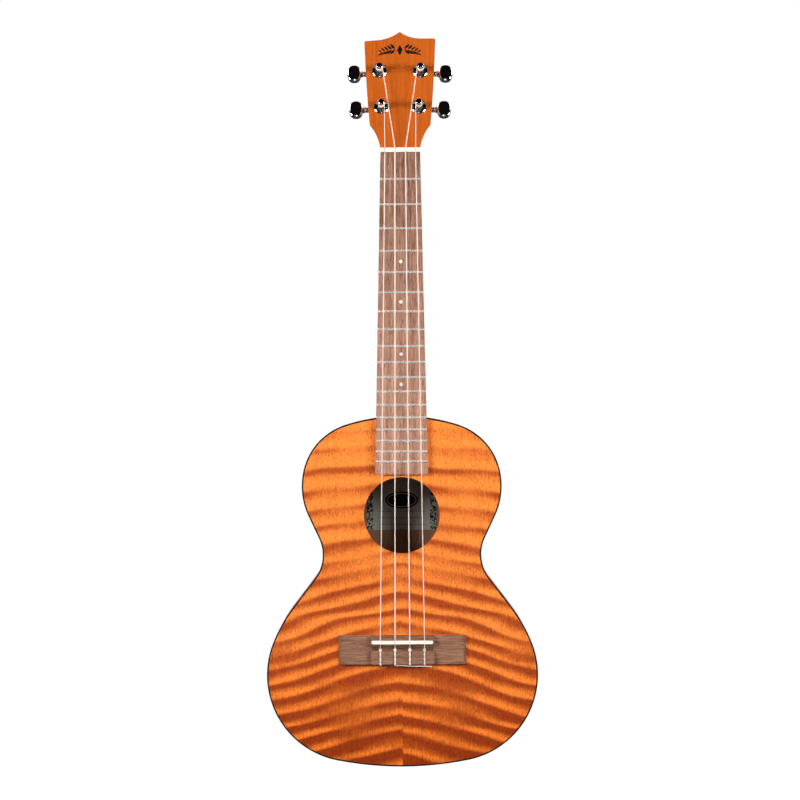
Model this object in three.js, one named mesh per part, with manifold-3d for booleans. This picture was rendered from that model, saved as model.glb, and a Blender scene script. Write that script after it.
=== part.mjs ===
// Tenor ukulele with geared tuners, modelled as it is assembled.
// Millimetres. +X is right as seen from the front, the front faces -Y and +Z runs up the neck.
//
// Lengths are laid out from the scale's zero, the front edge of the nut, and from the glue plane
// between neck and fingerboard, which is also the soundboard's face. The whole assembly is then
// shifted so that its origin is where a wall hanger's prongs hold the headstock.

import * as THREE from 'three';
import { mergeVertices } from 'three/addons/utils/BufferGeometryUtils.js';
import Module from 'manifold-3d';

const wasm = await Module();
wasm.setup();

// ---------------------------------------------------------------- driving dimensions

const GLUE = 0.3; // room left at glued and screwed faces
const SEAT = 0.1; // room left under frets, nut and saddle

const SCALE_LENGTH = 431.8; // 17 in
const FRET_COUNT = 18;
const FINGERBOARD = { length: 290.8, width: 35.9, endWidth: 47.6, thickness: 5 };
const FRET = { width: 2, height: 1, inset: 0.4 };
const NUT = { thickness: 3.9, width: 35.9, top: 7.9, slotDepth: 1.3, slotWidth: 1.4 };

const BODY_TOP = -238.1; // where the body's edge crosses the centre line at the heel
const BODY_ARCS = [ // from the heel round to the tail: radius and sweep, or a straight length
  { radius: 169.0, sweep: 17.6 },
  { radius: 55.8, sweep: 55.7 },
  { radius: 63.3, sweep: 41.75 },
  { straight: 22.3 },
  { radius: -35.1, sweep: 62.3 }, // the waist curves the other way
  { straight: 33.0 },
  { radius: 135.4, sweep: 15.9 },
  { radius: 78.5, sweep: 100.1 },
];
const BODY = { depthAtHeel: 62, depthAtTail: 70, length: 316.7 };
const PANEL = 2; // thickness of soundboard and back
const RIB = 1.8; // thickness of the bent sides
const SOUND_HOLE = { radius: 34.3, z: -327.6 };
const NECK_BLOCK = { width: 58, top: 4.6, bottom: 40 }; // measured down from the body's top
const TAIL_BLOCK = { width: 50, top: 16, bottom: 3.2 }; // measured up from the tail
const BRACE = { halfThickness: 3, scoop: 18, tip: 2.5 };
const UPPER_BRACE = { halfLength: 70, z: -285.5, height: 10 };
const LOWER_BRACE = { halfLength: 58, z: -372, height: 9 };
const BACK_BRACE = { halfLength: 60, z: -392, height: 9 };
const ARC_STEP = 6; // degrees between points on the body's arcs

const NECK = { depth: 13.5, depthAtHeel: 15.5, heelStart: -200, heelFull: -223 };
const HEAD = {
  pitch: 15, // degrees
  thickness: 13.5,
  shoulder: { x: 27.6, y: 23 }, // where the throat's curve meets the straight side
  corner: { x: 32.3, y: 104.3 },
  crownFoot: { x: 18.5, rise: 0.6 }, // where the crown's curve starts, above the corner
  peak: 112.1,
  crownRadius: 34,
  throatRadius: 55,
  sideRadius: 1500,
  skew: 0.039, // the crown is cut slightly out of square
};

const BRIDGE = {
  length: 115, top: -435.8, depth: 26.3, wing: 4, centre: 56.6, height: 8, wingEnd: 1.2, wingBevel: 2.2,
};
const BRIDGE_PROFILE = { // distances down from the bridge's top edge, and heights over the soundboard
  frontBevel: 2.4, ridgeEnd: 9.5, step: 10.7, stepHeight: 6, channelFloor: 2.2, tieBlock: 14.1,
  slotFloor: 3, stringHole: 3.9, drill: 1,
};
const SADDLE = { z: -441.9, thickness: 3.1, length: 55.5, top: 11.2 };
const STRING_RADIUS = [0.36, 0.45, 0.42, 0.36];
const STRING_X_AT_NUT = [-13.9, -4.8, 4.8, 13.9];
const STRING_X_AT_SADDLE = [-19.9, -6.65, 6.65, 19.9];

const TUNER_PLACES = [ // in the headstock's plane, in string order from the left
  { x: -16.95, y: 39.5, side: -1 },
  { x: -18.6, y: 74.3, side: -1 },
  { x: 18.6, y: 74.3, side: 1 },
  { x: 16.95, y: 39.5, side: 1 },
];
const POST = {
  radius: 3, top: 14.8, waist: 2.4, waistLow: 6.6, waistHigh: 11.8, flare: 1, hole: 0.8, holeAt: 9.3,
};
const BUSHING = { flange: 6.75, flangeHeight: 1.2, hex: 5.6, height: 4.2, sleeve: 4.1, bore: 3.2 };
const WHEEL = { teeth: 14, radius: 3.2, addendum: 0.36, dedendum: 0.5, width: 2.6, bore: 2.2 };
const WORM = { radius: 1.6, core: 1.1, length: 5, depth: 8 };
const BACKLASH = 0.12; // taken off each side of a tooth and of the worm's thread
const FLANK = THREE.MathUtils.degToRad(20);
const HOUSING = { inner: -7.6, outer: 9.2, low: -7.4, high: 9.4, depth: 13.4, cavity: 11.9 };
const BUTTON = { at: 23.1, width: 12.5, height: 15.9, thickness: 7.6, neckEnd: 14.6 };
const SHAFT = { journal: 1.9, neck: 2.5, flare: 3.4 };

const HANGER = { y: 10, z: 15 }; // the origin: mid-depth of the throat, just above the nut

// ---------------------------------------------------------------- materials

const finish = (color, roughness, metalness = 0) =>
  new THREE.MeshStandardMaterial({ color, roughness, metalness });
const flamedMahogany = () => finish('#c4692a', 0.45);
const plainMahogany = () => finish('#a8561f', 0.5);
const neckMahogany = () => finish('#bc5f22', 0.5);
const walnut = () => finish('#7d5a48', 0.65);
const spruce = () => finish('#d9b98a', 0.8);
const nickel = () => finish('#c9c6bf', 0.3, 1);
const bone = () => finish('#f1ece0', 0.4);
const nylon = () => finish('#e9e4d8', 0.35);
const chrome = () => finish('#d5d7da', 0.12, 1);
const brass = () => finish('#b08d4a', 0.35, 1);

// ---------------------------------------------------------------- geometry helpers

/** A closed skin through rings of points that all have the same count, with flat convex ends. */
function loft(rings) {
  const count = rings[0].length;
  const positions = rings.flat().flatMap((p) => [p.x, p.y, p.z]);
  const faces = [];
  for (let r = 0; r < rings.length - 1; r++) {
    for (let i = 0; i < count; i++) {
      const a = r * count + i;
      const b = r * count + ((i + 1) % count);
      faces.push(a, b, b + count, a, b + count, a + count);
    }
  }
  const last = (rings.length - 1) * count;
  for (let i = 1; i < count - 1; i++) {
    faces.push(0, i + 1, i);
    faces.push(last, last + i, last + i + 1);
  }
  const geometry = new THREE.BufferGeometry();
  geometry.setAttribute('position', new THREE.Float32BufferAttribute(positions, 3));
  geometry.setIndex(faces);
  return geometry;
}

/** A shape drawn in X and Z, made solid from depth front to depth back along Y. */
function slab(shape, front, back) {
  const options = { depth: back - front, bevelEnabled: false, curveSegments: 40 };
  return new THREE.ExtrudeGeometry(shape, options).rotateX(Math.PI / 2).translate(0, back, 0);
}

/** A section of points given as Z and height in front of the glue plane, run along X. */
function beam(section, length) {
  const shape = new THREE.Shape(section.map(([z, height]) => new THREE.Vector2(z, height)));
  return new THREE.ExtrudeGeometry(shape, { depth: length, bevelEnabled: false })
    .rotateY(Math.PI / 2)
    .rotateX(Math.PI)
    .translate(-length / 2, 0, 0);
}

/** A solid of revolution about Z through (x, y), from points of radius and height. */
function turned(points, x, y, segments = 20) {
  const profile = points.map(([radius, height]) => new THREE.Vector2(radius, height));
  return new THREE.LatheGeometry(profile, segments).rotateX(Math.PI / 2).translate(x, y, 0);
}

function rod(radius, from, to, x, y, segments = 20) {
  return turned([[0, from], [radius, from], [radius, to], [0, to]], x, y, segments);
}

function toSolid(geometry) {
  const bare = geometry.clone();
  bare.deleteAttribute('normal');
  bare.deleteAttribute('uv');
  const merged = mergeVertices(bare, 1e-5);
  const vertProperties = new Float32Array(merged.attributes.position.array);
  const triVerts = new Uint32Array(merged.index.array);
  return new wasm.Manifold(new wasm.Mesh({ numProp: 3, vertProperties, triVerts }));
}

function fromSolid(solid) {
  const { vertProperties, triVerts } = solid.getMesh();
  const geometry = new THREE.BufferGeometry();
  geometry.setAttribute('position', new THREE.BufferAttribute(new Float32Array(vertProperties), 3));
  geometry.setIndex(new THREE.BufferAttribute(new Uint32Array(triVerts), 1));
  return geometry;
}

const join = (base, ...others) =>
  fromSolid(others.reduce((sum, other) => sum.add(toSolid(other)), toSolid(base)));
const cut = (base, ...tools) =>
  fromSolid(tools.reduce((rest, tool) => rest.subtract(toSolid(tool)), toSolid(base)));

const ukulele = new THREE.Group();
const assembly = new THREE.Group();
assembly.position.set(0, -HANGER.y, -HANGER.z);
ukulele.add(assembly);

function place(name, geometry, material, parent = assembly) {
  const mesh = new THREE.Mesh(geometry, material);
  mesh.name = name;
  parent.add(mesh);
}

// ---------------------------------------------------------------- body outline

/** Right half of the body's outline, from the heel to the tail, moved in by inset. */
function halfOutline(inset = 0) {
  const points = [];
  let x = 0;
  let z = BODY_TOP - inset;
  let heading = 0; // radians clockwise from +X
  const arc = (radius, sweep) => {
    const turn = Math.sign(radius);
    const centreX = x - radius * Math.sin(heading);
    const centreZ = z - radius * Math.cos(heading);
    const steps = Math.max(2, Math.ceil(THREE.MathUtils.radToDeg(sweep) / ARC_STEP));
    for (let i = 0; i < steps; i++) {
      const angle = heading + (turn * sweep * i) / steps;
      points.push(new THREE.Vector2(
        centreX + radius * Math.sin(angle), centreZ + radius * Math.cos(angle)));
    }
    heading += turn * sweep;
    x = centreX + radius * Math.sin(heading);
    z = centreZ + radius * Math.cos(heading);
  };
  for (const { radius, sweep, straight } of BODY_ARCS) {
    if (straight) {
      points.push(new THREE.Vector2(x, z));
      x += straight * Math.cos(heading);
      z -= straight * Math.sin(heading);
    } else {
      arc(radius - inset, THREE.MathUtils.degToRad(sweep));
    }
  }
  const tailSweep = Math.PI - heading;
  arc(x / Math.sin(tailSweep), tailSweep);
  points.push(new THREE.Vector2(0, z));
  return points;
}

/** The whole outline as a shape in X and Z. */
function bodyShape(inset = 0) {
  const right = halfOutline(inset);
  const left = right.slice(1, -1).reverse().map((p) => new THREE.Vector2(-p.x, p.y));
  return new THREE.Shape([...right, ...left]);
}

const tailZ = halfOutline().at(-1).y;
const backSlope = (BODY.depthAtTail - BODY.depthAtHeel) / BODY.length;
/** Depth of the body's rear face at height z. The back is flat but leans out toward the tail. */
const rearFace = (z) => BODY.depthAtHeel + backSlope * (BODY_TOP - z);

function leanBack(geometry) {
  const position = geometry.attributes.position;
  for (let i = 0; i < position.count; i++) {
    position.setY(i, position.getY(i) + backSlope * (BODY_TOP - position.getZ(i)));
  }
  return geometry;
}

// ---------------------------------------------------------------- body

function soundboard() {
  const shape = bodyShape();
  const hole = new THREE.Path();
  hole.absarc(0, SOUND_HOLE.z, SOUND_HOLE.radius, 0, 2 * Math.PI);
  shape.holes.push(hole);
  return slab(shape, 0, PANEL);
}

const backPanel = () => leanBack(slab(bodyShape(), BODY.depthAtHeel - PANEL, BODY.depthAtHeel));

/** One bent side, from the heel's centre line to the tail's. */
function rib(side) {
  const outside = halfOutline();
  const inside = halfOutline(RIB);
  const front = PANEL + GLUE;
  const rings = outside.map((outer, i) => {
    const inner = inside[i];
    const x = (p) => side * Math.max(p.x, GLUE / 2);
    const rear = (p) => rearFace(p.y) - PANEL - GLUE;
    return [
      new THREE.Vector3(x(outer), front, outer.y),
      new THREE.Vector3(x(inner), front, inner.y),
      new THREE.Vector3(x(inner), rear(inner), inner.y),
      new THREE.Vector3(x(outer), rear(outer), outer.y),
    ];
  });
  return loft(side > 0 ? rings : rings.reverse());
}

function block(width, top, bottom) {
  const shape = new THREE.Shape([
    new THREE.Vector2(-width / 2, bottom),
    new THREE.Vector2(width / 2, bottom),
    new THREE.Vector2(width / 2, top),
    new THREE.Vector2(-width / 2, top),
  ]);
  return slab(shape, PANEL + GLUE, rearFace(top) - PANEL - GLUE);
}

/** A bar across the body with scooped ends, standing height deep from a panel's inner face. */
function brace({ halfLength, z, height }, face, inward) {
  const { halfThickness, scoop, tip } = BRACE;
  const outline = [
    [-halfLength, 0], [halfLength, 0], [halfLength, tip], [halfLength - scoop, height],
    [scoop - halfLength, height], [-halfLength, tip],
  ];
  const shape = new THREE.Shape(outline.map(([x, y]) => new THREE.Vector2(x, face + inward * y)));
  return new THREE.ExtrudeGeometry(shape, { depth: 2 * halfThickness, bevelEnabled: false })
    .translate(0, 0, z - halfThickness);
}

place('soundboard', soundboard(), flamedMahogany());
place('back', backPanel(), plainMahogany());
place('side_left', rib(-1), plainMahogany());
place('side_right', rib(1), plainMahogany());
const neckBlock = block(NECK_BLOCK.width, BODY_TOP - NECK_BLOCK.top, BODY_TOP - NECK_BLOCK.bottom);
const tailBlock = block(TAIL_BLOCK.width, tailZ + TAIL_BLOCK.top, tailZ + TAIL_BLOCK.bottom);
place('neck_block', neckBlock, plainMahogany());
place('tail_block', tailBlock, plainMahogany());

const topInner = PANEL + GLUE;
const backInner = rearFace(BACK_BRACE.z + BRACE.halfThickness) - PANEL - GLUE;
place('top_brace_upper', brace(UPPER_BRACE, topInner, 1), spruce());
place('top_brace_lower', brace(LOWER_BRACE, topInner, 1), spruce());
place('back_brace', brace(BACK_BRACE, backInner, -1), spruce());

// ---------------------------------------------------------------- neck and headstock

/** A cross-section of the neck at height z: flat in front, rounded or heel-shaped behind. */
function neckRing(z, { width, front = 0, depth, power = 2, reach = 1 }) {
  const count = 18;
  return Array.from({ length: count + 1 }, (_, i) => {
    const angle = (Math.PI * i) / count;
    const side = Math.cos(angle);
    const x = (width / 2) * Math.sign(side) * Math.abs(side) ** (2 / power);
    const back = reach * Math.sin(angle) ** (2 / power);
    return new THREE.Vector3(x, front + depth * Math.min(1, back), z);
  });
}

const boardWidthAt = (z) =>
  FINGERBOARD.width
  + ((FINGERBOARD.endWidth - FINGERBOARD.width) * Math.max(0, -z)) / FINGERBOARD.length;

/** The shaft of the neck, from inside the headstock down to the heel, coped to fit the body. */
function neckShaft() {
  const rings = [];
  const top = NUT.thickness;
  const pitch = THREE.MathUtils.degToRad(HEAD.pitch);
  for (const above of [16, 8]) { // tucked inside the headstock
    const front = above * Math.tan(pitch) + 1;
    rings.push(neckRing(top + above, { width: NUT.width - 1, front, depth: NECK.depth - 2 }));
  }
  for (const z of [top, -30, -110, NECK.heelStart]) {
    const along = (top - z) / (top - NECK.heelStart);
    const depth = THREE.MathUtils.lerp(NECK.depth, NECK.depthAtHeel, along);
    rings.push(neckRing(z, { width: boardWidthAt(z), depth }));
  }
  const heelDepth = BODY.depthAtHeel;
  for (const part of [0.3, 0.55, 0.75, 0.88, 0.96, 1]) {
    const z = THREE.MathUtils.lerp(NECK.heelStart, NECK.heelFull, part);
    const rise = 1 - Math.sqrt(1 - part * part);
    rings.push(neckRing(z, {
      width: boardWidthAt(z),
      depth: THREE.MathUtils.lerp(NECK.depthAtHeel, heelDepth, rise),
      power: THREE.MathUtils.lerp(2, 1.5, rise),
      reach: THREE.MathUtils.lerp(1, 1.2, rise),
    }));
  }
  const foot = BODY_TOP - 5;
  rings.push(neckRing(foot, {
    width: boardWidthAt(foot), depth: heelDepth, power: 1.5, reach: 1.2,
  }));
  return cut(loft(rings.reverse()), slab(bodyShape(-GLUE), -1, heelDepth + 1));
}

/** Points along the arc from a to b, without b; it bulges left of that line if radius is positive. */
function arcBetween(a, b, radius, count) {
  const chord = b.clone().sub(a);
  const middle = a.clone().add(b).multiplyScalar(0.5);
  const left = new THREE.Vector2(-chord.y, chord.x).normalize();
  const height = Math.sqrt(radius * radius - chord.lengthSq() / 4) * Math.sign(radius);
  const centre = middle.addScaledVector(left, -height);
  const start = Math.atan2(a.y - centre.y, a.x - centre.x);
  let sweep = Math.atan2(b.y - centre.y, b.x - centre.x) - start;
  sweep = Math.atan2(Math.sin(sweep), Math.cos(sweep));
  return Array.from({ length: count }, (_, i) => {
    const angle = start + (sweep * i) / count;
    const reach = Math.abs(radius);
    return new THREE.Vector2(
      centre.x + reach * Math.cos(angle), centre.y + reach * Math.sin(angle));
  });
}

/** Half of the headstock's outline on one side, from the nut to the peak. */
function headHalf(side) {
  const at = (x, y) => new THREE.Vector2(side * x, y);
  const skewed = (x, y) => at(x, y + side * HEAD.skew * x);
  const nutEnd = at(NUT.width / 2, 0);
  const shoulder = at(HEAD.shoulder.x, HEAD.shoulder.y);
  const corner = skewed(HEAD.corner.x, HEAD.corner.y);
  const crownFoot = skewed(HEAD.crownFoot.x, HEAD.corner.y + HEAD.crownFoot.rise);
  const peak = at(0, HEAD.peak);
  return [
    ...arcBetween(nutEnd, shoulder, side * HEAD.throatRadius, 6),
    ...arcBetween(shoulder, corner, -side * HEAD.sideRadius, 3),
    corner,
    ...arcBetween(crownFoot, peak, side * HEAD.crownRadius, 5),
  ];
}

const headFrame = new THREE.Group();
headFrame.position.set(0, 0, NUT.thickness);
headFrame.rotation.x = Math.PI / 2 - THREE.MathUtils.degToRad(HEAD.pitch);
headFrame.updateMatrix();
assembly.add(headFrame);

function headstock() {
  const peak = new THREE.Vector2(0, HEAD.peak);
  const outline = [...headHalf(1), peak, ...headHalf(-1).reverse()];
  const options = { depth: HEAD.thickness, bevelEnabled: false };
  const board = new THREE.ExtrudeGeometry(new THREE.Shape(outline), options)
    .translate(0, 0, -HEAD.thickness);
  const holes = TUNER_PLACES.map(({ x, y }) =>
    rod(BUSHING.sleeve + GLUE, -HEAD.thickness - 1, 1, x, y));
  return cut(board, ...holes).applyMatrix4(headFrame.matrix);
}

place('neck', join(neckShaft(), headstock()), neckMahogany());

// ---------------------------------------------------------------- fingerboard, nut and frets

function fingerboard() {
  const cornerRadius = 2.5;
  const half = FINGERBOARD.endWidth / 2;
  const end = -FINGERBOARD.length;
  const shape = new THREE.Shape();
  shape.moveTo(-FINGERBOARD.width / 2, -SEAT);
  shape.lineTo(-half, end + cornerRadius);
  shape.absarc(-half + cornerRadius, end + cornerRadius, cornerRadius, Math.PI, 1.5 * Math.PI);
  shape.absarc(half - cornerRadius, end + cornerRadius, cornerRadius, 1.5 * Math.PI, 2 * Math.PI);
  shape.lineTo(FINGERBOARD.width / 2, -SEAT);
  const options = { depth: FINGERBOARD.thickness - GLUE, bevelEnabled: false, curveSegments: 4 };
  return new THREE.ExtrudeGeometry(shape, options).rotateX(Math.PI / 2).translate(0, -GLUE, 0);
}

/** The nut: a bar whose top edge has one open slot for each string. */
function nut() {
  const half = NUT.width / 2;
  const slots = STRING_X_AT_NUT.flatMap((x) => [
    [x - NUT.slotWidth / 2, -NUT.top],
    [x - NUT.slotWidth / 2, NUT.slotDepth - NUT.top],
    [x + NUT.slotWidth / 2, NUT.slotDepth - NUT.top],
    [x + NUT.slotWidth / 2, -NUT.top],
  ]);
  const outline = [[-half, -SEAT], [-half, -NUT.top], ...slots, [half, -NUT.top], [half, -SEAT]];
  const shape = new THREE.Shape(outline.map(([x, y]) => new THREE.Vector2(x, y)));
  const options = { depth: NUT.thickness - 2 * SEAT, bevelEnabled: false };
  return new THREE.ExtrudeGeometry(shape, options).translate(0, 0, SEAT);
}

/** A fret's crown: a low dome across the fingerboard. */
function fret(z) {
  const length = boardWidthAt(z) - 2 * FRET.inset;
  const steps = 6;
  const dome = Array.from({ length: steps + 1 }, (_, i) => {
    const angle = (Math.PI * i) / steps;
    return [(FRET.width / 2) * Math.cos(angle), FRET.height * Math.sin(angle)];
  });
  return beam(dome, length).translate(0, -FINGERBOARD.thickness - SEAT, z);
}

place('fingerboard', fingerboard(), walnut());
place('nut', nut(), bone());
for (let number = 1; number <= FRET_COUNT; number++) {
  const z = -SCALE_LENGTH * (1 - 2 ** (-number / 12));
  place(`fret_${String(number).padStart(2, '0')}`, fret(z), nickel());
}

// ---------------------------------------------------------------- bridge, saddle and strings

const tieBlockFront = BRIDGE.top - BRIDGE_PROFILE.tieBlock;
const stringHoleY = -BRIDGE_PROFILE.stringHole;

/** Side view of the bridge's raised centre: ridge with the saddle's slot, channel, tie block. */
function bridgeCentre() {
  const { top, height, wing } = BRIDGE;
  const { frontBevel, ridgeEnd, step, stepHeight, channelFloor, slotFloor } = BRIDGE_PROFILE;
  const slotHalf = SADDLE.thickness / 2 + SEAT;
  const foot = top - BRIDGE.depth;
  const profile = [
    [top, GLUE], [top, wing], [top - frontBevel, height],
    [SADDLE.z + slotHalf, height], [SADDLE.z + slotHalf, slotFloor],
    [SADDLE.z - slotHalf, slotFloor], [SADDLE.z - slotHalf, height],
    [top - ridgeEnd, height], [top - ridgeEnd, stepHeight], [top - step, stepHeight],
    [top - step, channelFloor], [tieBlockFront, channelFloor],
    [tieBlockFront, height], [foot + 0.4, height], [foot, height - 1], [foot, GLUE],
  ];
  return beam(profile, BRIDGE.centre);
}

/** The bridge's wings, with a thin bevel at their ends. */
function bridgeWing(side) {
  const inner = BRIDGE.centre / 2 - 0.3;
  const outer = BRIDGE.length / 2;
  const { wing, wingEnd, wingBevel } = BRIDGE;
  const profile = [
    [inner, GLUE], [outer, GLUE], [outer, wingEnd], [outer - wingBevel, wing], [inner, wing],
  ];
  const shape = new THREE.Shape(profile.map(([x, h]) => new THREE.Vector2(side * x, -h)));
  return new THREE.ExtrudeGeometry(shape, { depth: BRIDGE.depth, bevelEnabled: false })
    .translate(0, 0, BRIDGE.top - BRIDGE.depth);
}

function bridge() {
  const foot = BRIDGE.top - BRIDGE.depth;
  const drill = (x) =>
    rod(BRIDGE_PROFILE.drill, foot - 1, tieBlockFront + 1, x, stringHoleY, 8);
  const whole = join(bridgeCentre(), bridgeWing(-1), bridgeWing(1));
  return cut(whole, ...STRING_X_AT_SADDLE.map(drill));
}

/** The saddle: a bar with a rounded top, standing in the bridge's slot. */
function saddle() {
  const half = SADDLE.thickness / 2;
  const foot = BRIDGE_PROFILE.slotFloor + SEAT;
  const section = [
    [-half, foot], [half, foot], [half, SADDLE.top - 1], [half * 0.6, SADDLE.top - 0.2],
    [-half * 0.6, SADDLE.top - 0.2], [-half, SADDLE.top - 1],
  ];
  return beam(section, SADDLE.length).translate(0, 0, SADDLE.z);
}

/** A round string through points, bent sharply at each. */
function string(points, radius) {
  const sides = 8;
  const rings = points.map((point, i) => {
    const before = points[Math.max(0, i - 1)];
    const after = points[Math.min(points.length - 1, i + 1)];
    const along = after.clone().sub(before).normalize();
    const across = new THREE.Vector3(1, 0, 0).addScaledVector(along, -along.x).normalize();
    const up = new THREE.Vector3().crossVectors(along, across);
    return Array.from({ length: sides }, (_, k) => {
      const angle = (2 * Math.PI * k) / sides;
      return point.clone()
        .addScaledVector(across, radius * Math.cos(angle))
        .addScaledVector(up, radius * Math.sin(angle));
    });
  });
  return loft(rings);
}

/** Where a string leaves its post, on the side toward the centre line and just below the hole. */
function postExit({ x, y, side }, radius) {
  const reach = POST.waist + 1.6 + radius;
  const exit = new THREE.Vector3(x - side * reach, y - 1.5, POST.holeAt - 1.8);
  return exit.applyMatrix4(headFrame.matrix);
}

function stringRoute(index) {
  const radius = STRING_RADIUS[index];
  const nutX = STRING_X_AT_NUT[index];
  const saddleX = STRING_X_AT_SADDLE[index];
  const overNut = NUT.slotDepth - NUT.top - radius - SEAT;
  const overSaddle = -SADDLE.top - radius - SEAT;
  return [
    new THREE.Vector3(saddleX, stringHoleY, BRIDGE.top - BRIDGE.depth + 0.5),
    new THREE.Vector3(saddleX, stringHoleY, tieBlockFront + 0.4),
    new THREE.Vector3(saddleX, overSaddle, SADDLE.z - 0.8),
    new THREE.Vector3(saddleX, overSaddle, SADDLE.z + 0.8),
    new THREE.Vector3(nutX, overNut, 0),
    new THREE.Vector3(nutX, overNut, NUT.thickness),
    postExit(TUNER_PLACES[index], radius),
  ];
}

place('bridge', bridge(), walnut());
place('saddle', saddle(), bone());
for (let index = 0; index < 4; index++) {
  place(`string_${index + 1}`, string(stringRoute(index), STRING_RADIUS[index]), nylon());
}

// ---------------------------------------------------------------- tuners

const wormHeight = -HEAD.thickness - WORM.depth;
const centreDistance = WHEEL.radius + WORM.radius;
const lead = (2 * Math.PI * WHEEL.radius) / WHEEL.teeth;

/** A shape in the headstock's plane, made solid between two heights above its face. */
function plate(shape, low, high, curveSegments = 6) {
  return new THREE.ExtrudeGeometry(shape, { depth: high - low, bevelEnabled: false, curveSegments })
    .translate(0, 0, low);
}

function roundedRectangle(left, bottom, right, top, radius) {
  const shape = new THREE.Shape();
  shape.absarc(right - radius, top - radius, radius, 0, Math.PI / 2);
  shape.absarc(left + radius, top - radius, radius, Math.PI / 2, Math.PI);
  shape.absarc(left + radius, bottom + radius, radius, Math.PI, 1.5 * Math.PI);
  shape.absarc(right - radius, bottom + radius, radius, 1.5 * Math.PI, 2 * Math.PI);
  return shape;
}

/** Turns a solid made about Z so that it lies along X, at the worm's height. */
const alongX = (geometry) =>
  geometry.rotateY(Math.PI / 2).translate(0, centreDistance, wormHeight);

/** The gear case: a cup that opens toward the headstock, with the worm's bearing in its side. */
function housing(side) {
  const { inner, outer, low, high, depth, cavity } = HOUSING;
  const [left, right] = side > 0 ? [inner, outer] : [-outer, -inner];
  const rear = -HEAD.thickness - depth;
  const front = -HEAD.thickness - GLUE;
  const floor = -HEAD.thickness - cavity;
  const wormRoom = WORM.radius + WHEEL.addendum + 0.5;
  const wormPocket = roundedRectangle(
    -WORM.length - 0.9, centreDistance - wormRoom, WORM.length + 0.9, centreDistance + wormRoom, 0.4);
  return cut(
    plate(roundedRectangle(left, low, right, high, 4), rear, front),
    rod(WHEEL.radius + WHEEL.addendum + 0.5, floor, 0, 0, 0),
    plate(wormPocket, floor, 0, 1),
    alongX(rod(2.2, Math.min(0, side * 12), Math.max(0, side * 12), 0, 0, 16)),
  );
}

/** The threaded bushing: a hexagonal head on a round flange, and a sleeve through the wood. */
function bushing() {
  const { flange, flangeHeight, hex, height, sleeve, bore } = BUSHING;
  const low = SEAT;
  const end = 0.5 - HEAD.thickness;
  const bevel = 0.4;
  const shared = 0.3; // how far the hexagon reaches down into the flange
  const body = turned([
    [bore, end], [sleeve, end], [sleeve, low], [flange, low],
    [flange, flangeHeight - bevel], [flange - bevel, flangeHeight], [bore, flangeHeight],
    [bore, end],
  ], 0, 0);
  const polygon = (radius, sides) => Array.from({ length: sides }, (_, i) =>
    new THREE.Vector2(0, radius).rotateAround(new THREE.Vector2(), (2 * Math.PI * i) / sides));
  const head = new THREE.Shape(polygon(hex, 6));
  head.holes.push(new THREE.Path(polygon(bore + 0.01, 20)));
  return join(body, plate(head, flangeHeight - shared, height));
}

/** The string post, with a waist where the string winds and a hole through it. */
function post() {
  const { radius, top, waist, waistLow, waistHigh, flare, hole, holeAt } = POST;
  const bevel = 0.6;
  const reach = 5;
  const wheelTop = wormHeight + WHEEL.width / 2 + GLUE;
  const spindle = WHEEL.bore - GLUE;
  const end = wormHeight - WHEEL.width / 2 - 1.4;
  const body = turned([
    [0, end], [spindle, end], [spindle, wheelTop], [radius, wheelTop],
    [radius, waistLow - flare], [waist, waistLow], [waist, waistHigh], [radius, waistHigh + flare],
    [radius, top - bevel], [radius - bevel, top], [0, top],
  ], 0, 0);
  const bit = rod(hole, -reach, reach, 0, 0, 8).rotateX(Math.PI / 2).translate(0, 0, holeAt);
  return cut(body, bit);
}

/** The worm wheel: straight-flanked teeth that lean to follow the worm's thread. */
function wheel() {
  const { teeth, radius, addendum, dedendum, width, bore } = WHEEL;
  const halfTooth = (Math.PI * radius) / teeth / 2 - BACKLASH / 2;
  const half = (r) => (halfTooth - (r - radius) * Math.tan(FLANK)) / r;
  const root = radius - dedendum;
  const tip = radius + addendum;
  const outline = [];
  for (let tooth = 0; tooth < teeth; tooth++) {
    const middle = Math.PI / 2 + (2 * Math.PI * (tooth + 0.5)) / teeth; // a space faces the worm
    for (const [r, offset] of [[root, -1], [tip, -1], [tip, 1], [root, 1]]) {
      const angle = middle + offset * half(r);
      outline.push(new THREE.Vector2(r * Math.cos(angle), r * Math.sin(angle)));
    }
  }
  const shape = new THREE.Shape(outline);
  const hole = new THREE.Path();
  hole.absarc(0, 0, bore, 0, 2 * Math.PI);
  shape.holes.push(hole);
  const geometry = new THREE.ExtrudeGeometry(shape, {
    depth: width, steps: 1, bevelEnabled: false, curveSegments: 7,
  }).translate(0, 0, -width / 2);
  const lean = lead / (2 * Math.PI * WORM.radius) / radius;
  const position = geometry.attributes.position;
  for (let i = 0; i < position.count; i++) {
    const point = new THREE.Vector3().fromBufferAttribute(position, i);
    point.applyAxisAngle(new THREE.Vector3(0, 0, 1), lean * point.z);
    position.setXYZ(i, point.x, point.y, point.z);
  }
  return geometry.translate(0, 0, wormHeight);
}

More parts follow.
